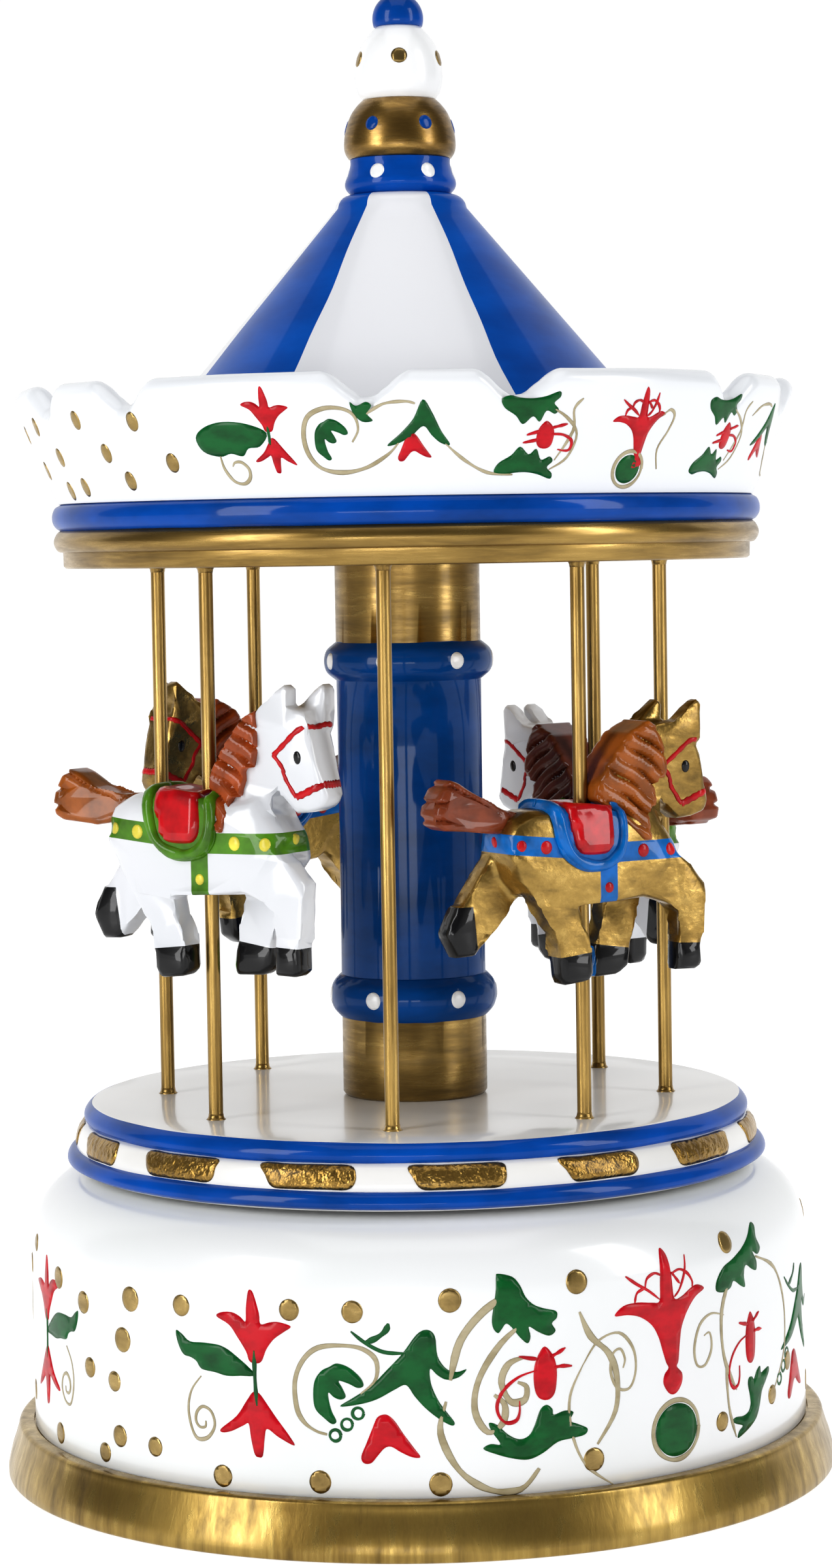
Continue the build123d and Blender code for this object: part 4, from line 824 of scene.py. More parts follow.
# ---- Canopy mouldings --------------------------------------------------------------------------
# A turned disc under the crown: a square step and a round in brushed gold, and a second round in blue.
canopy_low, canopy_high = column_high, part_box("crown")[0][2] / MM
canopy_gold = gold_paint("canopy_gold", (70, 70, 900), light=(196, 164, 98), mid=(146, 118, 62),
                         dark=(96, 76, 40))
gold_round = smooth_points([(49.3, 132.65), (49.95, 132.8), (50.5, 133.6), (50.55, 134.5), (50.1, 135.4),
                            (49.65, 135.75)], 4)
blue_round = smooth_points([(49.65, 135.75), (50.2, 136.1), (50.7, 136.9), (50.75, 138.0), (50.4, 138.9),
                            (49.9, 139.25)], 4)
canopy_profile, canopy_paints = banded(
    (0, [(0.5, canopy_low), (20, canopy_low), (40, canopy_low), (48.9, canopy_low), (49.25, canopy_low + 0.3),
         (49.3, 132.65)]),
    (0, gold_round), (1, blue_round),
    (1, [(49.9, 139.25), (49.5, canopy_high - 0.02), (30, canopy_high - 0.02), (0.5, canopy_high - 0.02)]),
)
edge_rows = [k for k in range(1, len(canopy_paints)) if canopy_paints[k] != canopy_paints[k - 1]]
canopy = show(
    "canopy_mouldings",
    turned(canopy_profile, paint_of=lambda step, angle: canopy_paints[step],
           edges=[(row, 0.08, 1.3 * row) for row in edge_rows]),
    [canopy_gold, ring_blue], "carousel", ["canopy_disc"],
)
crease(canopy, 50)

# ---- Crown -------------------------------------------------------------------------------------
# A flared ring in white enamel. Its lip is rounded, and gouged notches leave narrow and wide scallops.
crown_white = white_enamel("crown_white", tint=(234, 236, 240), shadow=(228, 231, 235))
crown_low, crown_high = (corner[2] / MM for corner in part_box("crown"))
NOTCH_HALF, NOTCH_DEPTH, LOBE_TURN, LOBE_HALF = 6.6, 3.5, -84.5, 10.6
FLARE_FOOT, FLARE_RISE, LIP, WALL = 49.75, 0.46, 1.9, 3.8
CROWN_AROUND = 720


def crown_radius(height):
    """Outside radius of the crown's flared wall at a height."""
    return FLARE_FOOT + FLARE_RISE * (height - crown_low) - 0.0035 * (height - crown_low) ** 2


def notch_at(angle):
    """How deep the gouge has cut at an angle, 0 to 1."""
    off = (angle - LOBE_TURN + 30) % 60 - 30
    away = abs(abs(off) - LOBE_HALF)
    return cos(min(away / NOTCH_HALF, 1) * pi / 2) ** 2


crown_mesh = bmesh.new()
crown_rows = []
for k in range(CROWN_AROUND):
    angle = 360 * k / CROWN_AROUND
    cut = notch_at(angle)
    top = crown_high - NOTCH_DEPTH * cut - 0.12 * (1 + waver(radians(angle), 2.0))
    chatter = 0.07 * cut * sin(angle * 2.9) * (1 + sin(angle * 1.7))
    rise = top - LIP - crown_low
    section = [(crown_radius(crown_low + rise * t / 10), crown_low + rise * t / 10) for t in range(11)]
    lip_r = section[-1][0] - LIP
    section += [(lip_r + (LIP + chatter) * cos(radians(a)), top - LIP + (LIP + chatter) * sin(radians(a)))
                for a in range(15, 181, 15)]
    section += [(lip_r - LIP - 1.0, crown_low + 6.0), (FLARE_FOOT - WALL, crown_low)]
    turn = radians(angle)
    crown_rows.append([crown_mesh.verts.new((r * MM * cos(turn), r * MM * sin(turn), z * MM))
                       for r, z in section])
for k in range(CROWN_AROUND):
    here, there = crown_rows[k], crown_rows[(k + 1) % CROWN_AROUND]
    for i in range(len(here)):
        crown_mesh.faces.new((here[i], there[i], there[(i + 1) % len(here)], here[(i + 1) % len(here)]))
crown = show("scalloped_crown", crown_mesh, [crown_white], "carousel", ["crown"])
crease(crown, 60)

crown_red, crown_green = Lining(crown_radius), Lining(crown_radius)
crown_scrolls, crown_dots = Lining(crown_radius), Lining(crown_radius)
SMALL_LEAF = [(0, 0.6), (-2.2, 1.6), (-5.0, 1.9), (-7.4, 1.4), (-8.7, 0.3), (-8.0, -1.2), (-6.0, -1.8),
              (-4.6, -1.5), (-3.2, -1.8), (-2.4, -1.0), (-1.0, -0.8)]
SMALL_SPIRAL = [(-6.2, -1.9), (-5.9, -3.6), (-4.8, -5.2), (-3.4, -5.6), (-2.4, -4.9), (-2.3, -3.7),
                (-3.2, -2.8), (-4.2, -2.8), (-4.6, -3.3)]
ARROW = [(0, 0.2), (1.2, -1.4), (2.4, -3.8), (3.6, -5.6), (2.4, -5.4), (1.2, -4.4), (0.1, -3.2), (-1.4, -4.4),
         (-3.2, -5.4), (-4.6, -5.6), (-2.8, -4.0), (-1.2, -2.2)]
WIDE_LEAF = [(-4.1, 1.3), (-3.0, 1.8), (-1.6, 1.5), (0.2, 1.4), (2.0, 1.7), (3.8, 2.3), (4.0, 1.6),
             (3.2, 0.8), (3.9, 0.0), (3.4, -0.6), (2.2, -0.2), (1.4, -1.6), (0.4, -0.9), (-0.9, -1.9),
             (-2.0, -0.8), (-3.6, 0.2)]


def crown_tulips(at, flip=1):
    """A small pair of tulips with a leaf and a spiral."""
    crown_red.patch(TULIP_UP, at, 148.1, size=0.60, flip=flip, grid=0.7)
    crown_red.patch(TULIP_DOWN, at + 0.4 * flip, 147.2, size=0.52, flip=flip, grid=0.7)
    crown_green.patch(SMALL_LEAF, at - 0.3 * flip, 147.2, size=1.22, flip=flip, grid=0.8)
    crown_green.stroke([(0, 1.2), (0, -1.2)], at, 147.6, width=0.45, lift=0.12)
    crown_scrolls.stroke(SMALL_SPIRAL, at - 1.5 * flip, 147.0, width=0.46, flip=flip)


def crown_comma(at, flip=1):
    """A comma leaf in a scroll, with a sprig above it."""
    crown_green.patch(COMMA_LEAF, at, 147.3, size=0.66, flip=flip, grid=0.6)
    crown_green.patch([(-1.3, 1.4), (-0.5, 0.9), (0.8, 1.4), (1.5, 0.9), (0.9, -0.1), (1.6, -1.0),
                       (0.2, -1.1), (-0.9, 0.0)], at + 4.6 * flip, 150.2, flip=flip, grid=0.5)
    crown_scrolls.stroke([(3.0, -0.8), (3.9, 0.8), (3.5, 2.6), (2.0, 3.5), (-0.4, 3.6), (-2.6, 2.6),
                          (-3.4, 0.4), (-3.0, -2.2), (-1.4, -4.1), (1.4, -4.7), (4.6, -4.1), (7.6, -2.4),
                          (9.0, -1.0)], at, 147.3, width=0.57, flip=flip)


def crown_arrow(at, flip=1):
    """A green arrowhead over a red one."""
    crown_green.patch(ARROW, at, 151.6, flip=flip, grid=0.6)
    crown_red.patch(HEART, at - 1.6 * flip, 147.6, size=0.56, flip=flip, grid=0.6)
    crown_scrolls.stroke([(-7.6, 2.6), (-5.2, 4.0), (-2.4, 4.3), (-1.0, 4.0)], at, 147.3, width=0.41,
                         flip=flip)
    crown_scrolls.stroke([(3.0, -1.2), (5.6, -3.4), (8.6, -5.0), (12.0, -5.3)], at, 147.3, width=0.41,
                         flip=flip)


def crown_berry(at, narrow=1.0, flip=1):
    """A berry with tendrils between two wide leaves."""
    crown_green.patch([(x * narrow, y) for x, y in WIDE_LEAF], at - 0.8 * flip, 150.4, flip=flip, grid=0.6)
    crown_green.patch([(x * narrow, -y) for x, y in WIDE_LEAF], at - 0.8 * flip, 143.7, flip=flip, grid=0.6)
    crown_red.patch([(x * 0.75 * narrow, y * 0.5) for x, y in BERRY], at + 1.8 * flip, 147.1, flip=flip,
                    grid=0.5)
    for tendril in ([(-0.8, 0.5), (-2.6, 0.0)], [(-0.8, -0.6), (-3.0, -1.0)], [(0.8, 0.9), (3.0, 1.4)],
                    [(0.8, 0.1), (2.6, 0.0), (3.9, -0.8), (3.6, -2.0), (2.0, -1.9)]):
        crown_red.stroke([(x * narrow, y) for x, y in tendril], at + 1.8 * flip, 147.1, width=0.42,
                         lift=0.12, flip=flip)
    crown_scrolls.stroke([(1.4, 4.0), (4.4, 2.4), (6.2, 0.2), (5.2, -2.8), (2.8, -4.4)], at, 147.0,
                         width=0.41, flip=flip)
    crown_scrolls.stroke([(3.4, -3.2), (5.6, 0.6), (5.4, 3.4), (6.6, 4.8)], at, 147.0, width=0.41, flip=flip)


def crown_trumpet(at, flip=1):
    """A small trumpet flower over a ringed oval."""
    crown_red.patch(TRUMPET, at, 149.3, size=0.56, flip=flip, grid=0.6)
    for stamen in STAMENS:
        crown_red.stroke(stamen, at, 149.3, width=0.38, lift=0.12, size=0.56, flip=flip)
    crown_green.patch(OVAL, at - 0.6 * flip, 142.6, size=0.52, grid=0.6)
    crown_scrolls.stroke([(x * 0.58, y * 0.58) for x, y in OVAL_RIM], at - 0.6 * flip, 142.6, width=0.49,
                         lift=0.09, taper=False)
    crown_scrolls.stroke([(3.4, 5.6), (4.6, 6.4), (5.6, 5.6), (5.0, 3.6), (3.8, 1.2), (4.6, -1.4)],
                         at, 144.0, width=0.41, flip=flip)


for start in (0, 150):
    crown_tulips(start - 19.4)
    crown_comma(start - 10.6)
    crown_arrow(start + 2.6)
    crown_berry(start + 18.6)
    crown_trumpet(start + 36.0)
    crown_berry(start + 53.6, narrow=0.9)
    crown_arrow(start + 70)
crown_tulips(94, flip=-1)
crown_comma(108)
crown_tulips(246, flip=-1)
crown_berry(262)
for at, height in ((-83, 149.4), (-76, 144.2), (-71, 150.2), (-65, 145.8), (-60, 141.6), (-55, 150.6),
                   (-50, 146.0), (-42, 150.0), (-36.5, 144.4), (-46.5, 142.2), (-66.5, 141.2), (232, 146),
                   (237, 150.2), (226, 150), (117, 144.0), (121, 149.6)):
    crown_dots.dot(at, height, 2.1, 2.6)
show("crown_scrolls", crown_scrolls.mesh, [scroll_gold], "carousel")
show("crown_dots", crown_dots.mesh, [dot_gold], "carousel")
show("crown_leaves", crown_green.mesh, [green_paint], "carousel")
show("crown_flowers", crown_red.mesh, [red_paint], "carousel")

# ---- Roof --------------------------------------------------------------------------------------
# A turned cone standing inside the crown, painted in four white and four blue panels by eye.
roof_white = white_enamel("roof_white", tint=(228, 229, 233), shadow=(224, 225, 230))
roof_blue = blue_enamel("roof_blue", base=(0, 84, 176), deep=(0, 66, 146))
roof_low, roof_high = (corner[2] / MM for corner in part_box("roof_cone"))
ROOF_FOOT, ROOF_KNEE, ROOF_KNEE_DROP, ROOF_ROUND, ROOF_HOLE, ROOF_STEPS = 44.6, 9.5, 2.0, 2.2, 2.0, 24
roof_rise = roof_high - ROOF_KNEE_DROP - roof_low
slope = [(ROOF_FOOT + (ROOF_KNEE - ROOF_FOOT) * k / ROOF_STEPS, roof_low + roof_rise * k / ROOF_STEPS)
         for k in range(ROOF_STEPS + 1)]
roof_profile = [(ROOF_HOLE, roof_low)] + slope
roof_profile += arc(ROOF_KNEE - ROOF_ROUND, roof_high - ROOF_ROUND, ROOF_ROUND, 25, 80, 4)
roof_profile += [(ROOF_HOLE, roof_high)]
BLUE_PANELS = ((27, 82), (124, 170), (213, 252), (288, 330))  # degrees round from the front


def roof_paint(step, angle):
    """Blue inside the blue panels, white between them."""
    return 1 if any(start < (angle + 90) % 360 < end for start, end in BLUE_PANELS) else 0


roof_mesh = turned(roof_profile, around=360, paint_of=roof_paint)
for vert in roof_mesh.verts:
    height = vert.co.z / MM
    around = atan2(vert.co.y, vert.co.x)
    sway = radians(0.55 * sin(0.21 * height + 4 * around) + 0.3 * sin(0.53 * height + 9 * around))
    vert.co = Matrix.Rotation(sway, 3, "Z") @ vert.co
roof = show("roof", roof_mesh, [roof_white, roof_blue], "carousel", ["roof_cone"])
crease(roof, 50)

# ---- Finial ------------------------------------------------------------------------------------
# Four turned beads on a dowel: a dotted blue collar, a brushed gold dome with blue dots, a white egg with
# gold dots, and a blue ball.
finial_gold = gold_paint("finial_gold", (160, 160, 800), light=(196, 160, 92), mid=(136, 106, 54),
                         dark=(84, 64, 30))
HOLE = 0.8
collar_low, collar_high = (corner[2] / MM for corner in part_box("finial_collar"))
collar_profile = [(HOLE, collar_low), (6.6, collar_low)]
collar_profile += smooth_points([(7.1, collar_low + 0.1), (7.8, 183.8), (7.95, 184.7), (7.5, 185.9),
                                 (7.15, 187.2), (7.15, collar_high)], 5)
collar_profile += [(HOLE, collar_high)]
show("collar", turned(collar_profile, around=96), [ring_blue], "carousel", ["finial_collar"])
dome_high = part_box("finial_dome")[1][2] / MM
dome_profile = [(HOLE, collar_high), (7.0, collar_high)]
dome_profile += smooth_points([(7.35, collar_high + 0.15), (7.85, 189.0), (8.0, 190.2), (7.75, 192.2),
                               (7.0, 194.3), (6.1, 195.6), (5.3, dome_high)], 5) + [(HOLE, dome_high)]
show("dome", turned(dome_profile, around=128), [finial_gold], "carousel", ["finial_dome"])
egg_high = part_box("finial_egg")[1][2] / MM
egg_profile = [(HOLE, dome_high)]
egg_profile += smooth_points([(5.1, dome_high), (5.9, 197.6), (6.3, 199.8), (6.0, 202.2), (5.15, 204.4),
                              (4.0, 205.9), (3.1, egg_high)], 5) + [(HOLE, egg_high)]
show("egg", turned(egg_profile, around=96), [dot_white], "carousel", ["finial_egg"])
ball_low, ball_high = (corner[2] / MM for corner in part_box("finial_ball"))
BALL_R = 3.65
ball_profile = [(0.3, ball_low)] + arc(0.0, ball_high - BALL_R, BALL_R, -18, 89, 18) + [(0.02, ball_high)]
show("ball", turned(ball_profile, around=64), [ring_blue], "carousel", ["finial_ball"])
white_dots, blue_dots, gold_dots = (
    Lining(radius_on(outline)) for outline in (collar_profile, dome_profile, egg_profile)
)
for k in range(6):
    white_dots.dot(-26 + 58 * k, 185.9, 2.2, 2.1)
    blue_dots.dot(-31 + 60 * k, 192.6, 2.0, 2.0)
for k in range(5):
    gold_dots.dot(1 + 72 * k, 202.1, 2.3, 2.2)
show("collar_dots", white_dots.mesh, [dot_white], "carousel")
show("dome_dots", blue_dots.mesh, [ring_blue], "carousel")
show("egg_dots", gold_dots.mesh, [dot_gold], "carousel")

# ---- Poles -------------------------------------------------------------------------------------
# Eight rods in gold paint, streaked along their length, with a little pooled paint at each end.
pole_gold = gold_paint("pole_gold", (1800, 1800, 55), light=(204, 172, 104), mid=(150, 120, 62),
                       dark=(92, 72, 36))
POLES = [f"pole_{number + 1}" for number in range(8)]
finish_nodes(pole_gold, *POLES)
for name in POLES:
    low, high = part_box(name)
    middle = Vector(((low[0] + high[0]) / 2, (low[1] + high[1]) / 2, 0))
    rod = (high[0] - low[0]) / 2 / MM
    for end, start, rise in (("foot", platform_high, 1), ("head", canopy_low, -1)):
        pool = [(rod - 0.25, start - 0.15 * rise), (rod + 0.42, start - 0.02 * rise),
                (rod + 0.22, start + 0.14 * rise), (rod + 0.09, start + 0.4 * rise),
                (rod + 0.04, start + 0.8 * rise), (rod - 0.25, start + 0.85 * rise)]
        ring = turned(pool, around=24)
        for vert in ring.verts:
            vert.co += middle
        show(f"{name}_{end}_paint", ring, [pole_gold], "carousel")

# ---- Horses ------------------------------------------------------------------------------------
# Four whittled and painted horses, each sawn from board, knocked off with a knife and threaded on its pole.
# Sizes are in the horse's own frame: x forward, y to its left, the pole at zero, heights as on the carousel.
# Horses 1 and 3 are white with green tack, and 2 and 4 gold with blue tack.
TURNED_OUT = (0, 0, 18, -12)  # degrees from the way the carousel travels, for horses 1 to 4
LIFTS = (-3.6, 0.9, 1.5, -0.6)  # how far each is glued above the common height
SIZES = (0.97, 1.0, 1.02, 0.96)
TAIL_DROOPS = (0, 0, 1.8, 0)
WITHERS = 92
BARREL_SIDE = [(-13.9, 91.4), (-14.3, 94.2), (-12.9, 96.3), (-10.2, 97.5), (-7, 97.6), (-2, 96.6), (3, 96.6),
               (8, 97.0), (12, 94.0), (13.9, 91.2), (14.2, 88.6), (11.6, 85.4), (8.5, 84.2), (3, 84.1),
               (-2, 83.9), (-7.5, 84.6), (-10.8, 85.6), (-12.9, 88.0)]
NECK_SIDE = [(2.2, 94), (1.8, 99.4), (3.4, 103.4), (6.2, 107.0), (9.2, 108.8), (12.4, 109.2), (15.6, 109.2),
             (17.2, 109.0), (17.5, 107.6), (18.3, 106.0), (19.0, 102.4), (20.4, 97.6), (19.9, 96.2),
             (17.6, 95.4), (15.2, 95.2), (13.6, 96.8), (12.5, 99.0), (11.4, 97.6), (11.6, 94.8),
             (12.8, 92.6), (8, 90)]
NEAR_FORE = [(7.4, 91), (12.6, 91.2), (15.6, 88.8), (18.2, 86.0), (18.0, 83.0), (17.1, 78.2), (17.3, 77.4),
             (17.0, 74.4), (13.4, 74.3), (13.4, 77.4), (13.6, 78.4), (13.7, 82.4), (11.6, 83.4), (7.6, 84.6)]
OFF_FORE = [(5, 90), (11.8, 89), (10.6, 83.4), (8.6, 78.4), (8.9, 76.6), (7.6, 73.4), (3.0, 73.4),
            (2.8, 76.8), (4.2, 79.2), (4.6, 83.4)]
NEAR_HIND = [(-13.2, 91.0), (-5.6, 91), (-3.4, 86), (-2.6, 81.4), (-1.5, 77.4), (-0.9, 76.4), (-1.1, 73.7),
             (-5.6, 73.6), (-6.0, 76.8), (-7.1, 80.0), (-9.0, 83.6), (-12.2, 87.4)]
OFF_HIND = [(-13.6, 91.4), (-7.6, 91), (-8.8, 85.6), (-12.4, 82.4), (-15.2, 78.6), (-16.4, 77.2),
            (-19.2, 77.4), (-20.8, 79.8), (-20.2, 82.4), (-18.0, 85.0), (-15.4, 88.8)]
HOOVES = [
    ([(13.3, 77.8), (17.2, 78.0), (17.4, 74.2), (16.4, 73.5), (13.2, 73.6)], -1),
    ([(3.0, 76.6), (9.0, 77.2), (8.6, 74.0), (7.0, 72.8), (2.8, 72.6), (2.4, 74.2)], 1),
    ([(-6.4, 77.4), (-1.0, 77.0), (-0.8, 74.0), (-1.7, 72.9), (-5.6, 72.5), (-6.3, 73.8)], -1),
    ([(-16.3, 83.8), (-19.4, 84.2), (-21.3, 80.2), (-19.6, 76.8), (-16.5, 76.9)], 1),
]
MANE_SIDE = [(9.6, 109.7), (6.1, 107.9), (3.1, 104.1), (0.8, 100.4), (0.7, 98.6), (3.4, 96.6), (5.4, 94.6),
             (7.6, 92.6), (8.8, 92.6), (8.9, 95.0), (8.3, 97.6), (9.8, 97.2), (10.7, 97.6), (10.5, 99.8),
             (9.9, 101.4), (11.5, 101.2), (12.5, 101.4), (12.6, 103.2), (12.0, 106.2), (10.8, 108.9)]
TAIL_SIDE = [(-12.4, 97.4), (-15.2, 98.4), (-18.2, 100.2), (-20.8, 101.9), (-22.2, 102.4), (-23.3, 101.5),
             (-24.4, 99.6), (-24.9, 97.6), (-24.5, 95.9), (-23.2, 95.2), (-19.8, 95.0), (-16.0, 94.5),
             (-12.6, 94.2)]


def board(mesh, outline, near, far, knocked):
    """Add a board sawn to an outline in side view, its long edges knocked off."""
    sides = [[mesh.verts.new((x, y, z)) for x, z in outline] for y in (near, far)]
    caps = [mesh.faces.new(sides[0]), mesh.faces.new(sides[1][::-1])]
    count = len(outline)
    for k in range(count):
        mesh.faces.new((sides[0][(k + 1) % count], sides[0][k], sides[1][k], sides[1][(k + 1) % count]))
    rims = [edge for cap in caps for edge in cap.edges]
    bmesh.ops.bevel(mesh, geom=rims, offset=knocked, segments=2, profile=0.55, affect="EDGES",
                    clamp_overlap=True)


def whittle(mesh, grain, smoothing, keep):
    """Join the boards into one piece and work its surface down to knife facets."""
    data = bpy.data.meshes.new("blank")
    mesh.to_mesh(data)
    mesh.free()
    piece = bpy.data.objects.new("blank", data)
    bpy.context.scene.collection.objects.link(piece)
    join = piece.modifiers.new("join", "REMESH")
    join.mode = "VOXEL"
    join.voxel_size = grain
    soften = piece.modifiers.new("soften", "SMOOTH")
    soften.iterations = smoothing
    facets = piece.modifiers.new("facets", "DECIMATE")
    facets.ratio = keep
    worked = bmesh.new()
    worked.from_object(piece, bpy.context.evaluated_depsgraph_get())
    bpy.data.objects.remove(piece)
    bpy.data.meshes.remove(data)
    return worked


def carve_body(ear_right, ear_left, breadth):
    """The whole horse without mane and tail. The neck is slimmer where the mane is narrow."""
    mesh = bmesh.new()
    board(mesh, BARREL_SIDE, -5.1, 5.1, 2.5)
    neck = [(x + 3.2 * (1 - breadth), z) if k in (1, 2, 3) else (x, z) for k, (x, z) in enumerate(NECK_SIDE)]
    board(mesh, neck, -3.0, 3.0, 0.9)
    board(mesh, [(4, 88), (5, 96.5), (10, 97.5), (14.0, 92), (13.8, 88)], -4.4, 4.4, 2.0)
    for outline, side in ((NEAR_FORE, -1), (OFF_FORE, 1), (NEAR_HIND, -1), (OFF_HIND, 1)):
        board(mesh, outline, min(side * 1.2, side * 4.9), max(side * 1.2, side * 4.9), 0.7)
    for outline, side in HOOVES:
        board(mesh, outline, min(side * 1.0, side * 5.1), max(side * 1.0, side * 5.1), 0.9)
    for side, ear in ((-1, ear_right), (1, ear_left)):
        tip = [(ear - 6.0, 107.4), (ear - 2.6, 109.6), (ear - 0.6, 111.6), (ear + 0.5, 112.5),
               (ear + 1.3, 111.9), (ear + 0.9, 109.4), (ear + 1.2, 106.4)]
        board(mesh, tip, min(side * 0.5, side * 3.3), max(side * 0.5, side * 3.3), 0.5)
    body = whittle(mesh, 0.40, 4, 0.075)
    for vert in body.verts:
        x, y, z = vert.co
        if x > 12 and z > 94:
            y *= 1 - 0.032 * max(0, 104 - z)
            y *= 1.06 if 101 < z < 107 and x < 16 else 1.0
        for eye_x, eye_z, reach, depth in ((16.3, 103.2, 1.5, 0.5), (18.3, 99.6, 0.8, 0.35),
                                           (12.2, 98.2, 2.2, 0.6)):
            y -= copysign(depth * max(0, 1 - hypot(x - eye_x, z - eye_z) / reach), y)
        x += 0.05 * sin(2.1 * z + 1.7 * y)
        y += 0.07 * sin(1.9 * x + 1.3 * z)
        vert.co = (x, y, z)
    return body


def carve_mane(breadth):
    """The mane, in locks gouged slantwise. `breadth` is how far down the neck it hangs."""
    mesh = bmesh.new()
    crest = [(x + 3.2 * (1 - breadth), z) if k < 5
             else (x - (1 - breadth) * 0.8 * (x - 3.0 - 0.45 * (z - 96)), z)
             for k, (x, z) in enumerate(MANE_SIDE)]
    board(mesh, crest, -3.9, 3.9, 0.6)
    mane = whittle(mesh, 0.30, 2, 1.0)
    for vert in mane.verts:
        x, y, z = vert.co
        across = 0.82 * (z - 100) + 0.57 * x
        along = 0.82 * x - 0.57 * (z - 100)
        lock = across / 2.15 + 0.10 * sin(0.9 * along)
        gouge = min(1, 1.6 * abs(sin(pi * lock)))
        ends = 0.45 + 0.55 * cos(0.55 * (along - 5.5 - 2.2 * sin(2.4 * round(lock))))
        y *= 1 + 0.085 * max(0, 99 - z)
        y -= copysign(min(1, max(0, abs(y) - 1.6)) * 1.25 * (1 - gouge) * max(0.3, ends), y)
        vert.co = (x, y, z)
    return mane


def carve_tail(seed, droop):
    """The tail: a short brush with long gouged grooves, that hangs `droop` mm low."""
    mesh = bmesh.new()
    board(mesh, TAIL_SIDE, -2.6, 2.6, 0.9)
    board(mesh, [(-10.6, 97.2), (-13.8, 97.9), (-14.8, 95.8), (-13.6, 93.9), (-10.8, 94.2)], -1.8, 1.8, 0.7)
    tail = whittle(mesh, 0.30, 4, 0.45)
    for vert in tail.verts:
        x, y, z = vert.co
        out = min(1, max(0, (-14.5 - x) / 8))
        spread = (z - 95.8 - 2.9 * out) / (1.7 + 2.1 * out)
        gouge = abs(sin(pi * (1.55 * spread + 0.19 * seed + 0.12 * sin(0.5 * x))))
        y *= 0.72 + 0.42 * out
        y -= copysign(0.85 * (0.35 + 0.65 * out) * (1 - min(1, 2.1 * gouge)), y)
        x += 0.35 * out * out * (1 - min(1, 1.5 * gouge))
        z -= droop * min(1, max(0, (-11.5 - x) / 6))
        vert.co = (x, y, z)
    return tail


def cut(mesh, spot, normal):
    """Split the faces along a plane, so that paint can stop there."""
    parts = mesh.verts[:] + mesh.edges[:] + mesh.faces[:]
    bmesh.ops.bisect_plane(mesh, geom=parts, dist=0.02, plane_co=spot, plane_no=normal)


def paint_bands(mesh):
    """Paint the straps and the hooves on a carved body. Each edge of paint is a cut across the surface."""
    rear = Vector((0.10, 0, 1)).normalized()
    breast = Vector((-0.01, 0, 1)).normalized()
    for spot, normal in (((-9, 0, 93.9), rear), ((-9, 0, 91.1), rear), ((9, 0, 92.6), breast),
                         ((9, 0, 89.8), breast), ((0.2, 0, 86), (1, 0, 0)), ((3.0, 0, 86), (1, 0, 0)),
                         ((10, 0, 77.7), (0.05, 0, 1)), ((-4, 0, 76.8), (-0.1, 0, 1)),
                         ((-16.6, 0, 80), (1, 0, 0.12)), ((-16, 0, 84.0), (0, 0, 1)),
                         ((6, 0, 77.0), (0.15, 0, 1))):
        cut(mesh, spot, normal)
    for face in mesh.faces:
        middle = face.calc_center_median()
        x, y, z = middle
        if x < -2.0 and 0 < (middle - Vector((-9, 0, 91.1))).dot(rear) < 2.8 \
                or 1 < x and 0 < (middle - Vector((9, 0, 89.8))).dot(breast) < 2.8 \
                or 0.2 < x < 3.0 and z < 91:
            face.material_index = 1
        elif x > 11.5 and z < 77.7 - 0.05 * (x - 10) or -8 < x < 1 and z < 76.8 + 0.1 * (x + 4) \
                or 1 < x < 11.5 and z < 77.0 - 0.15 * (x - 6) \
                or x < -16.6 - 0.12 * (z - 80) and z < 84.0:
            face.material_index = 2


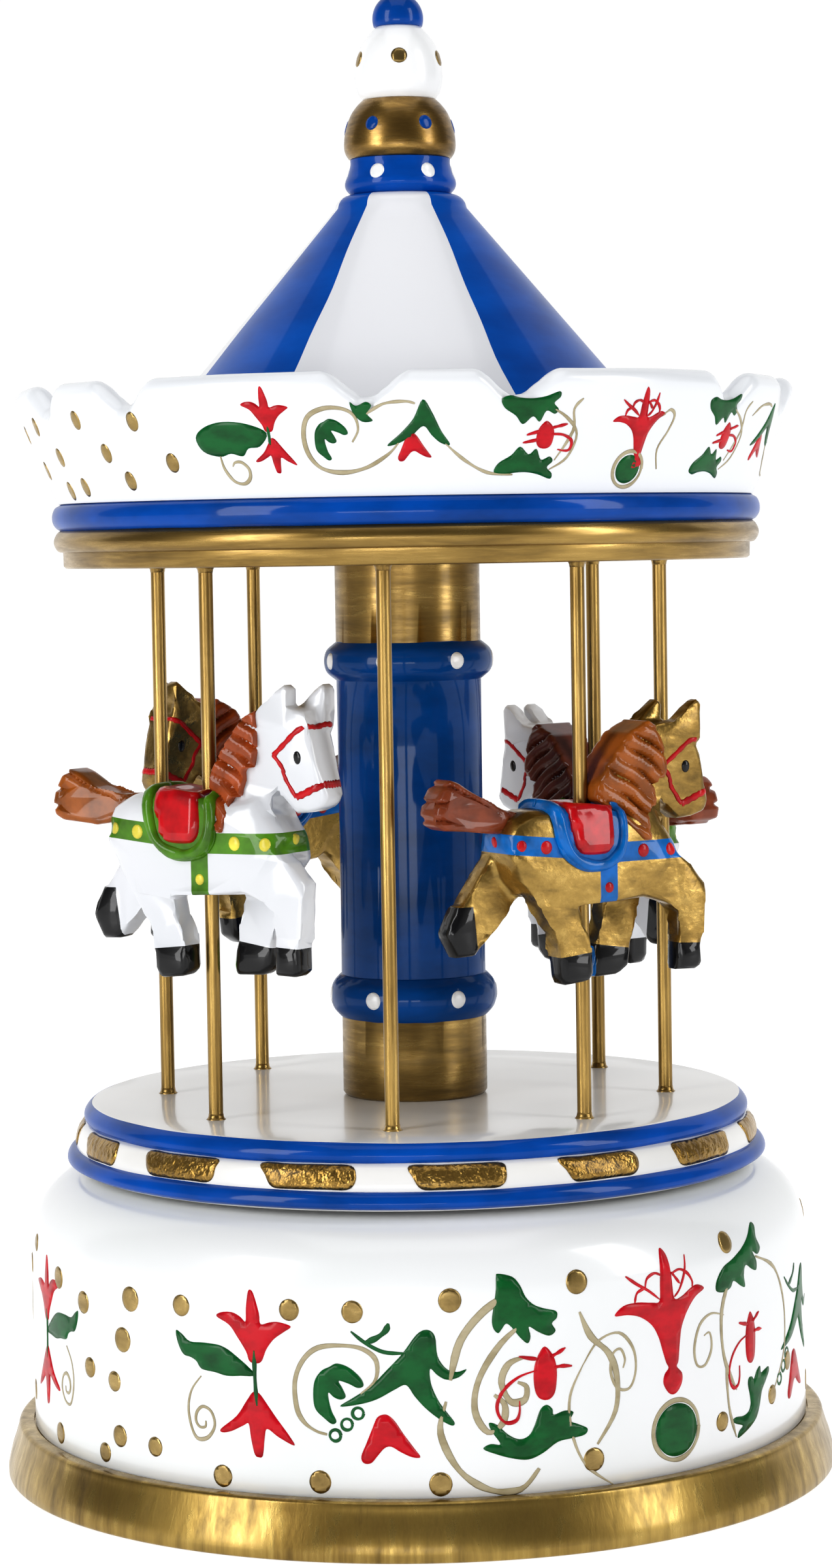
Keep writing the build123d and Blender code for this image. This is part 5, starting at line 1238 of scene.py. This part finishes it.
class Tack(Lining):
    """Painted tack on one carved horse, laid on by finding the wood under each point."""

    def __init__(self, wood):
        super().__init__(None)
        self.wood = wood

    def point(self, middle, across, height, lift):
        """A vertex over the back, `across` mm forward of `middle` and `height` mm round from the spine."""
        swing = height / 6.3
        out = Vector((0, sin(swing), cos(swing)))
        core = Vector((middle + across, 0, 91))
        spot, normal, _, _ = self.wood.ray_cast(core + 25 * out, -out)
        spot = spot or core + 6 * out
        return self.mesh.verts.new(spot + lift * out)

    def strap(self, path, width, lift=0.14, steps=6):
        """A painted line through points near the surface."""
        ways = [smooth_points([(k, p[axis]) for k, p in enumerate(path)], steps) for axis in range(3)]
        line = [Vector(way[1] for way in three) for three in zip(*ways)]
        line = [self.wood.find_nearest(p)[:2] for p in line]
        rings = []
        for index, (spot, normal) in enumerate(line):
            along = (line[min(index + 1, len(line) - 1)][0] - line[max(index - 1, 0)][0]).normalized()
            side = normal.cross(along).normalized() * width / 2 * (1 + 0.15 * sin(1.7 * index))
            rings.append([self.mesh.verts.new(spot + side * a + normal * lift * b)
                          for a, b in ((-1, 0.1), (-0.6, 0.9), (0, 1.1), (0.6, 0.9), (1, 0.1), (0, -1.5))])
        for first, second in zip(rings, rings[1:]):
            for k in range(6):
                self.mesh.faces.new((first[k], first[(k + 1) % 6], second[(k + 1) % 6], second[k]))
        self.mesh.faces.new(rings[0][::-1])
        self.mesh.faces.new(rings[-1])

    def touch(self, spot, wide, tall, lift=0.16):
        """A round or oval touch of paint near a point."""
        spot, normal = self.wood.find_nearest(Vector(spot))[:2]
        level = Vector((0, 0, 1)).cross(normal).normalized()
        up = normal.cross(level)
        rings = []
        for share, rise in ((1, -1.5), (1, 0.2), (0.7, 0.85)):
            ring = []
            for k in range(14):
                angle = 2 * pi * k / 14
                near = spot + level * wide / 2 * share * cos(angle) + up * tall / 2 * share * sin(angle)
                near = self.wood.find_nearest(near)[0]
                ring.append(self.mesh.verts.new(near + normal * lift * rise))
            rings.append(ring)
        for first, second in zip(rings, rings[1:]):
            for k in range(14):
                self.mesh.faces.new((first[k], first[(k + 1) % 14], second[(k + 1) % 14], second[k]))
        self.mesh.faces.new(rings[0][::-1])
        top = self.mesh.verts.new(spot + normal * lift)
        for k in range(14):
            self.mesh.faces.new((rings[-1][k], rings[-1][(k + 1) % 14], top))


# The saddle in plan over the back: forward along x, and round the body from the right side to the left.
SADDLE_HALF = [(-7.8, 0), (-7.7, 3.6), (-7.0, 7.4), (-5.6, 10.4), (-3.2, 12.2), (-0.6, 12.6), (2.2, 12.0),
               (4.0, 10.0), (4.5, 7.2), (4.0, 4.0), (3.2, 0)]
SEAT_HALF = [(-5.6, 0), (-5.3, 4.0), (-4.6, 7.4), (-3.4, 9.6), (-0.6, 10.0), (1.4, 9.5), (2.3, 7.4),
             (1.9, 4.0), (1.2, 0)]
BROWBAND = [(12.3, -3.2, 102.9), (14.4, -3.3, 104.6), (16.6, -3.2, 106.4), (18.3, -1.6, 107.0),
            (18.5, 0, 107.0), (18.3, 1.6, 107.0), (16.6, 3.2, 106.4), (14.4, 3.3, 104.6),
            (12.3, 3.2, 102.9)]
CHEEK = [(12.3, 103.0), (13.6, 101.2), (13.9, 99.8), (15.6, 97.4)]
NOSEBAND = [(15.6, -3.0, 97.4), (17.0, -2.8, 97.9), (18.9, -2.2, 98.8), (20.1, -1.0, 99.2), (20.3, 0, 99.2),
            (20.1, 1.0, 99.2), (18.9, 2.2, 98.8), (17.0, 2.8, 97.9), (15.6, 3.0, 97.4)]


def horse_gloss(name, red, green, blue, coat=0.9):
    """A thick flat-coloured enamel."""
    paint = Paint(name, roughness=0.35, coat=coat * 0.6, coat_roughness=0.06)
    paint.shader.inputs["Specular IOR Level"].default_value = 0.15
    clouds = paint.noise((300, 300, 300), detail=3.0)
    dark = colour(0.72 * red, 0.72 * green, 0.72 * blue)
    paint.set("Base Color", paint.ramp(clouds, [(0.3, dark), (0.62, colour(red, green, blue))]))
    paint.bump(paint.noise((420, 420, 900), detail=2.0), 0.15, 0.0001)
    return paint.material


horse_white = white_enamel("horse_white", tint=(222, 223, 227), shadow=(208, 211, 216))
horse_gold = gold_paint("horse_gold", (260, 260, 520), light=(200, 168, 98), mid=(152, 122, 62),
                        dark=(92, 72, 34), lumps=0.15)
hoof_black = horse_gloss("hoof_black", 14, 14, 16)
seat_red = horse_gloss("seat_red", 196, 8, 22, coat=1.0)
bridle_red = horse_gloss("bridle_red", 196, 22, 30, coat=0.4)
tack_green = horse_gloss("tack_green", 84, 138, 30, coat=0.7)
tack_blue = horse_gloss("tack_blue", 0, 108, 190, coat=0.7)
dot_yellow = horse_gloss("dot_yellow", 240, 224, 84, coat=0.5)
dot_red = horse_gloss("dot_red", 198, 26, 34, coat=0.5)
rust_hair = horse_gloss("rust_hair", 168, 78, 32, coat=0.7)
orange_hair = horse_gloss("orange_hair", 160, 88, 30, coat=0.7)
brown_hair = horse_gloss("brown_hair", 104, 52, 38, coat=0.7)
red_brown_hair = horse_gloss("red_brown_hair", 136, 66, 38, coat=0.7)
# coat, tack, dots, mane, tail, and how far forward each ear stands, right and left
STABLE = [
    (horse_white, tack_green, dot_yellow, brown_hair, red_brown_hair, 1.0, 16.2, 16.6),
    (horse_gold, tack_blue, dot_red, rust_hair, brown_hair, 0.9, 15.6, 16.4),
    (horse_white, tack_green, dot_yellow, rust_hair, orange_hair, 0.45, 13.8, 17.4),
    (horse_gold, tack_blue, dot_red, orange_hair, red_brown_hair, 1.0, 17.4, 13.2),
]
for number, (coat, tack, dots, hair, brush, breadth, ear_right, ear_left) in enumerate(STABLE, start=1):
    low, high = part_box(f"pole_{2 * number}")
    x, y = (low[0] + high[0]) / 2, (low[1] + high[1]) / 2
    heading = atan2(y, x) + pi / 2 + radians(TURNED_OUT[number - 1])
    place = Matrix.Translation((x, y, (LIFTS[number - 1] + WITHERS) * MM)) @ Matrix.Rotation(heading, 4, "Z")
    place = place @ Matrix.Scale(SIZES[number - 1] * MM, 4) @ Matrix.Translation((0, 0, -WITHERS))
    body, mane = carve_body(ear_right, ear_left, breadth), carve_mane(breadth)
    tail = carve_tail(number, TAIL_DROOPS[number - 1])
    wood = BVHTree.FromBMesh(body)
    paint_bands(body)
    rim, seat, lines, touches, eyes = Tack(wood), Tack(wood), Tack(wood), Tack(wood), Tack(wood)
    rim.patch(SADDLE_HALF + [(x, -y) for x, y in SADDLE_HALF[-2:0:-1]], 0, 0, lift=0.7, grid=0.8)
    seat.patch(SEAT_HALF + [(x, -y) for x, y in SEAT_HALF[-2:0:-1]], 0, 0, lift=1.5, grid=0.8)
    for side in (-1, 1):
        rim.stroke([(-0.9 + 0.86 * (x + 0.9), 0.9 * y * side) for x, y in SADDLE_HALF], 0, 0, width=1.9,
                   lift=1.45, taper=False)
    lines.strap(BROWBAND, 0.75)
    lines.strap(NOSEBAND, 1.0)
    for side in (-1, 1):
        lines.strap([(x, 3.2 * side, z) for x, z in CHEEK], 0.65)
        eyes.touch((16.1, 3.4 * side, 102.7), 1.25, 1.8)
        for x, z, size in ((-12.6, 92.8, 1.5), (-8.6, 92.4, 1.8), (7.4, 91.2, 1.8), (12.2, 91.2, 1.7),
                           (1.6, 86.2, 1.4)):
            touches.touch((x, 5.2 * side, z), size, size * 1.08)
    touches.touch((15, 0, 91.6), 1.6, 1.7)
    touches.touch((-15, 0, 93.0), 1.5, 1.6)
    coat_slot = "horse_white" if coat is horse_white else "horse_gold"
    for part, mesh, materials, slot, replaces in (
        ("body", body, [coat, tack, hoof_black], coat_slot, [f"horse_{number}"]),
        ("mane", mane, [hair], "hair_paint", []),
        ("tail", tail, [brush], "hair_paint", [f"horse_tail_{number}"]),
        ("saddle", rim.mesh, [tack], "blue_paint", []),
        ("seat", seat.mesh, [seat_red], "blue_paint", []),
        ("bridle", lines.mesh, [bridle_red], "blue_paint", []),
        ("strap_dots", touches.mesh, [dots], "white_enamel", []),
        ("eyes", eyes.mesh, [hoof_black], "blue_paint", []),
    ):
        mesh.transform(place)
        piece = show(f"horse_{number}_{part}", mesh, materials, "carousel", replaces)
        if part in ("body", "mane", "tail"):
            crease(piece, 42)
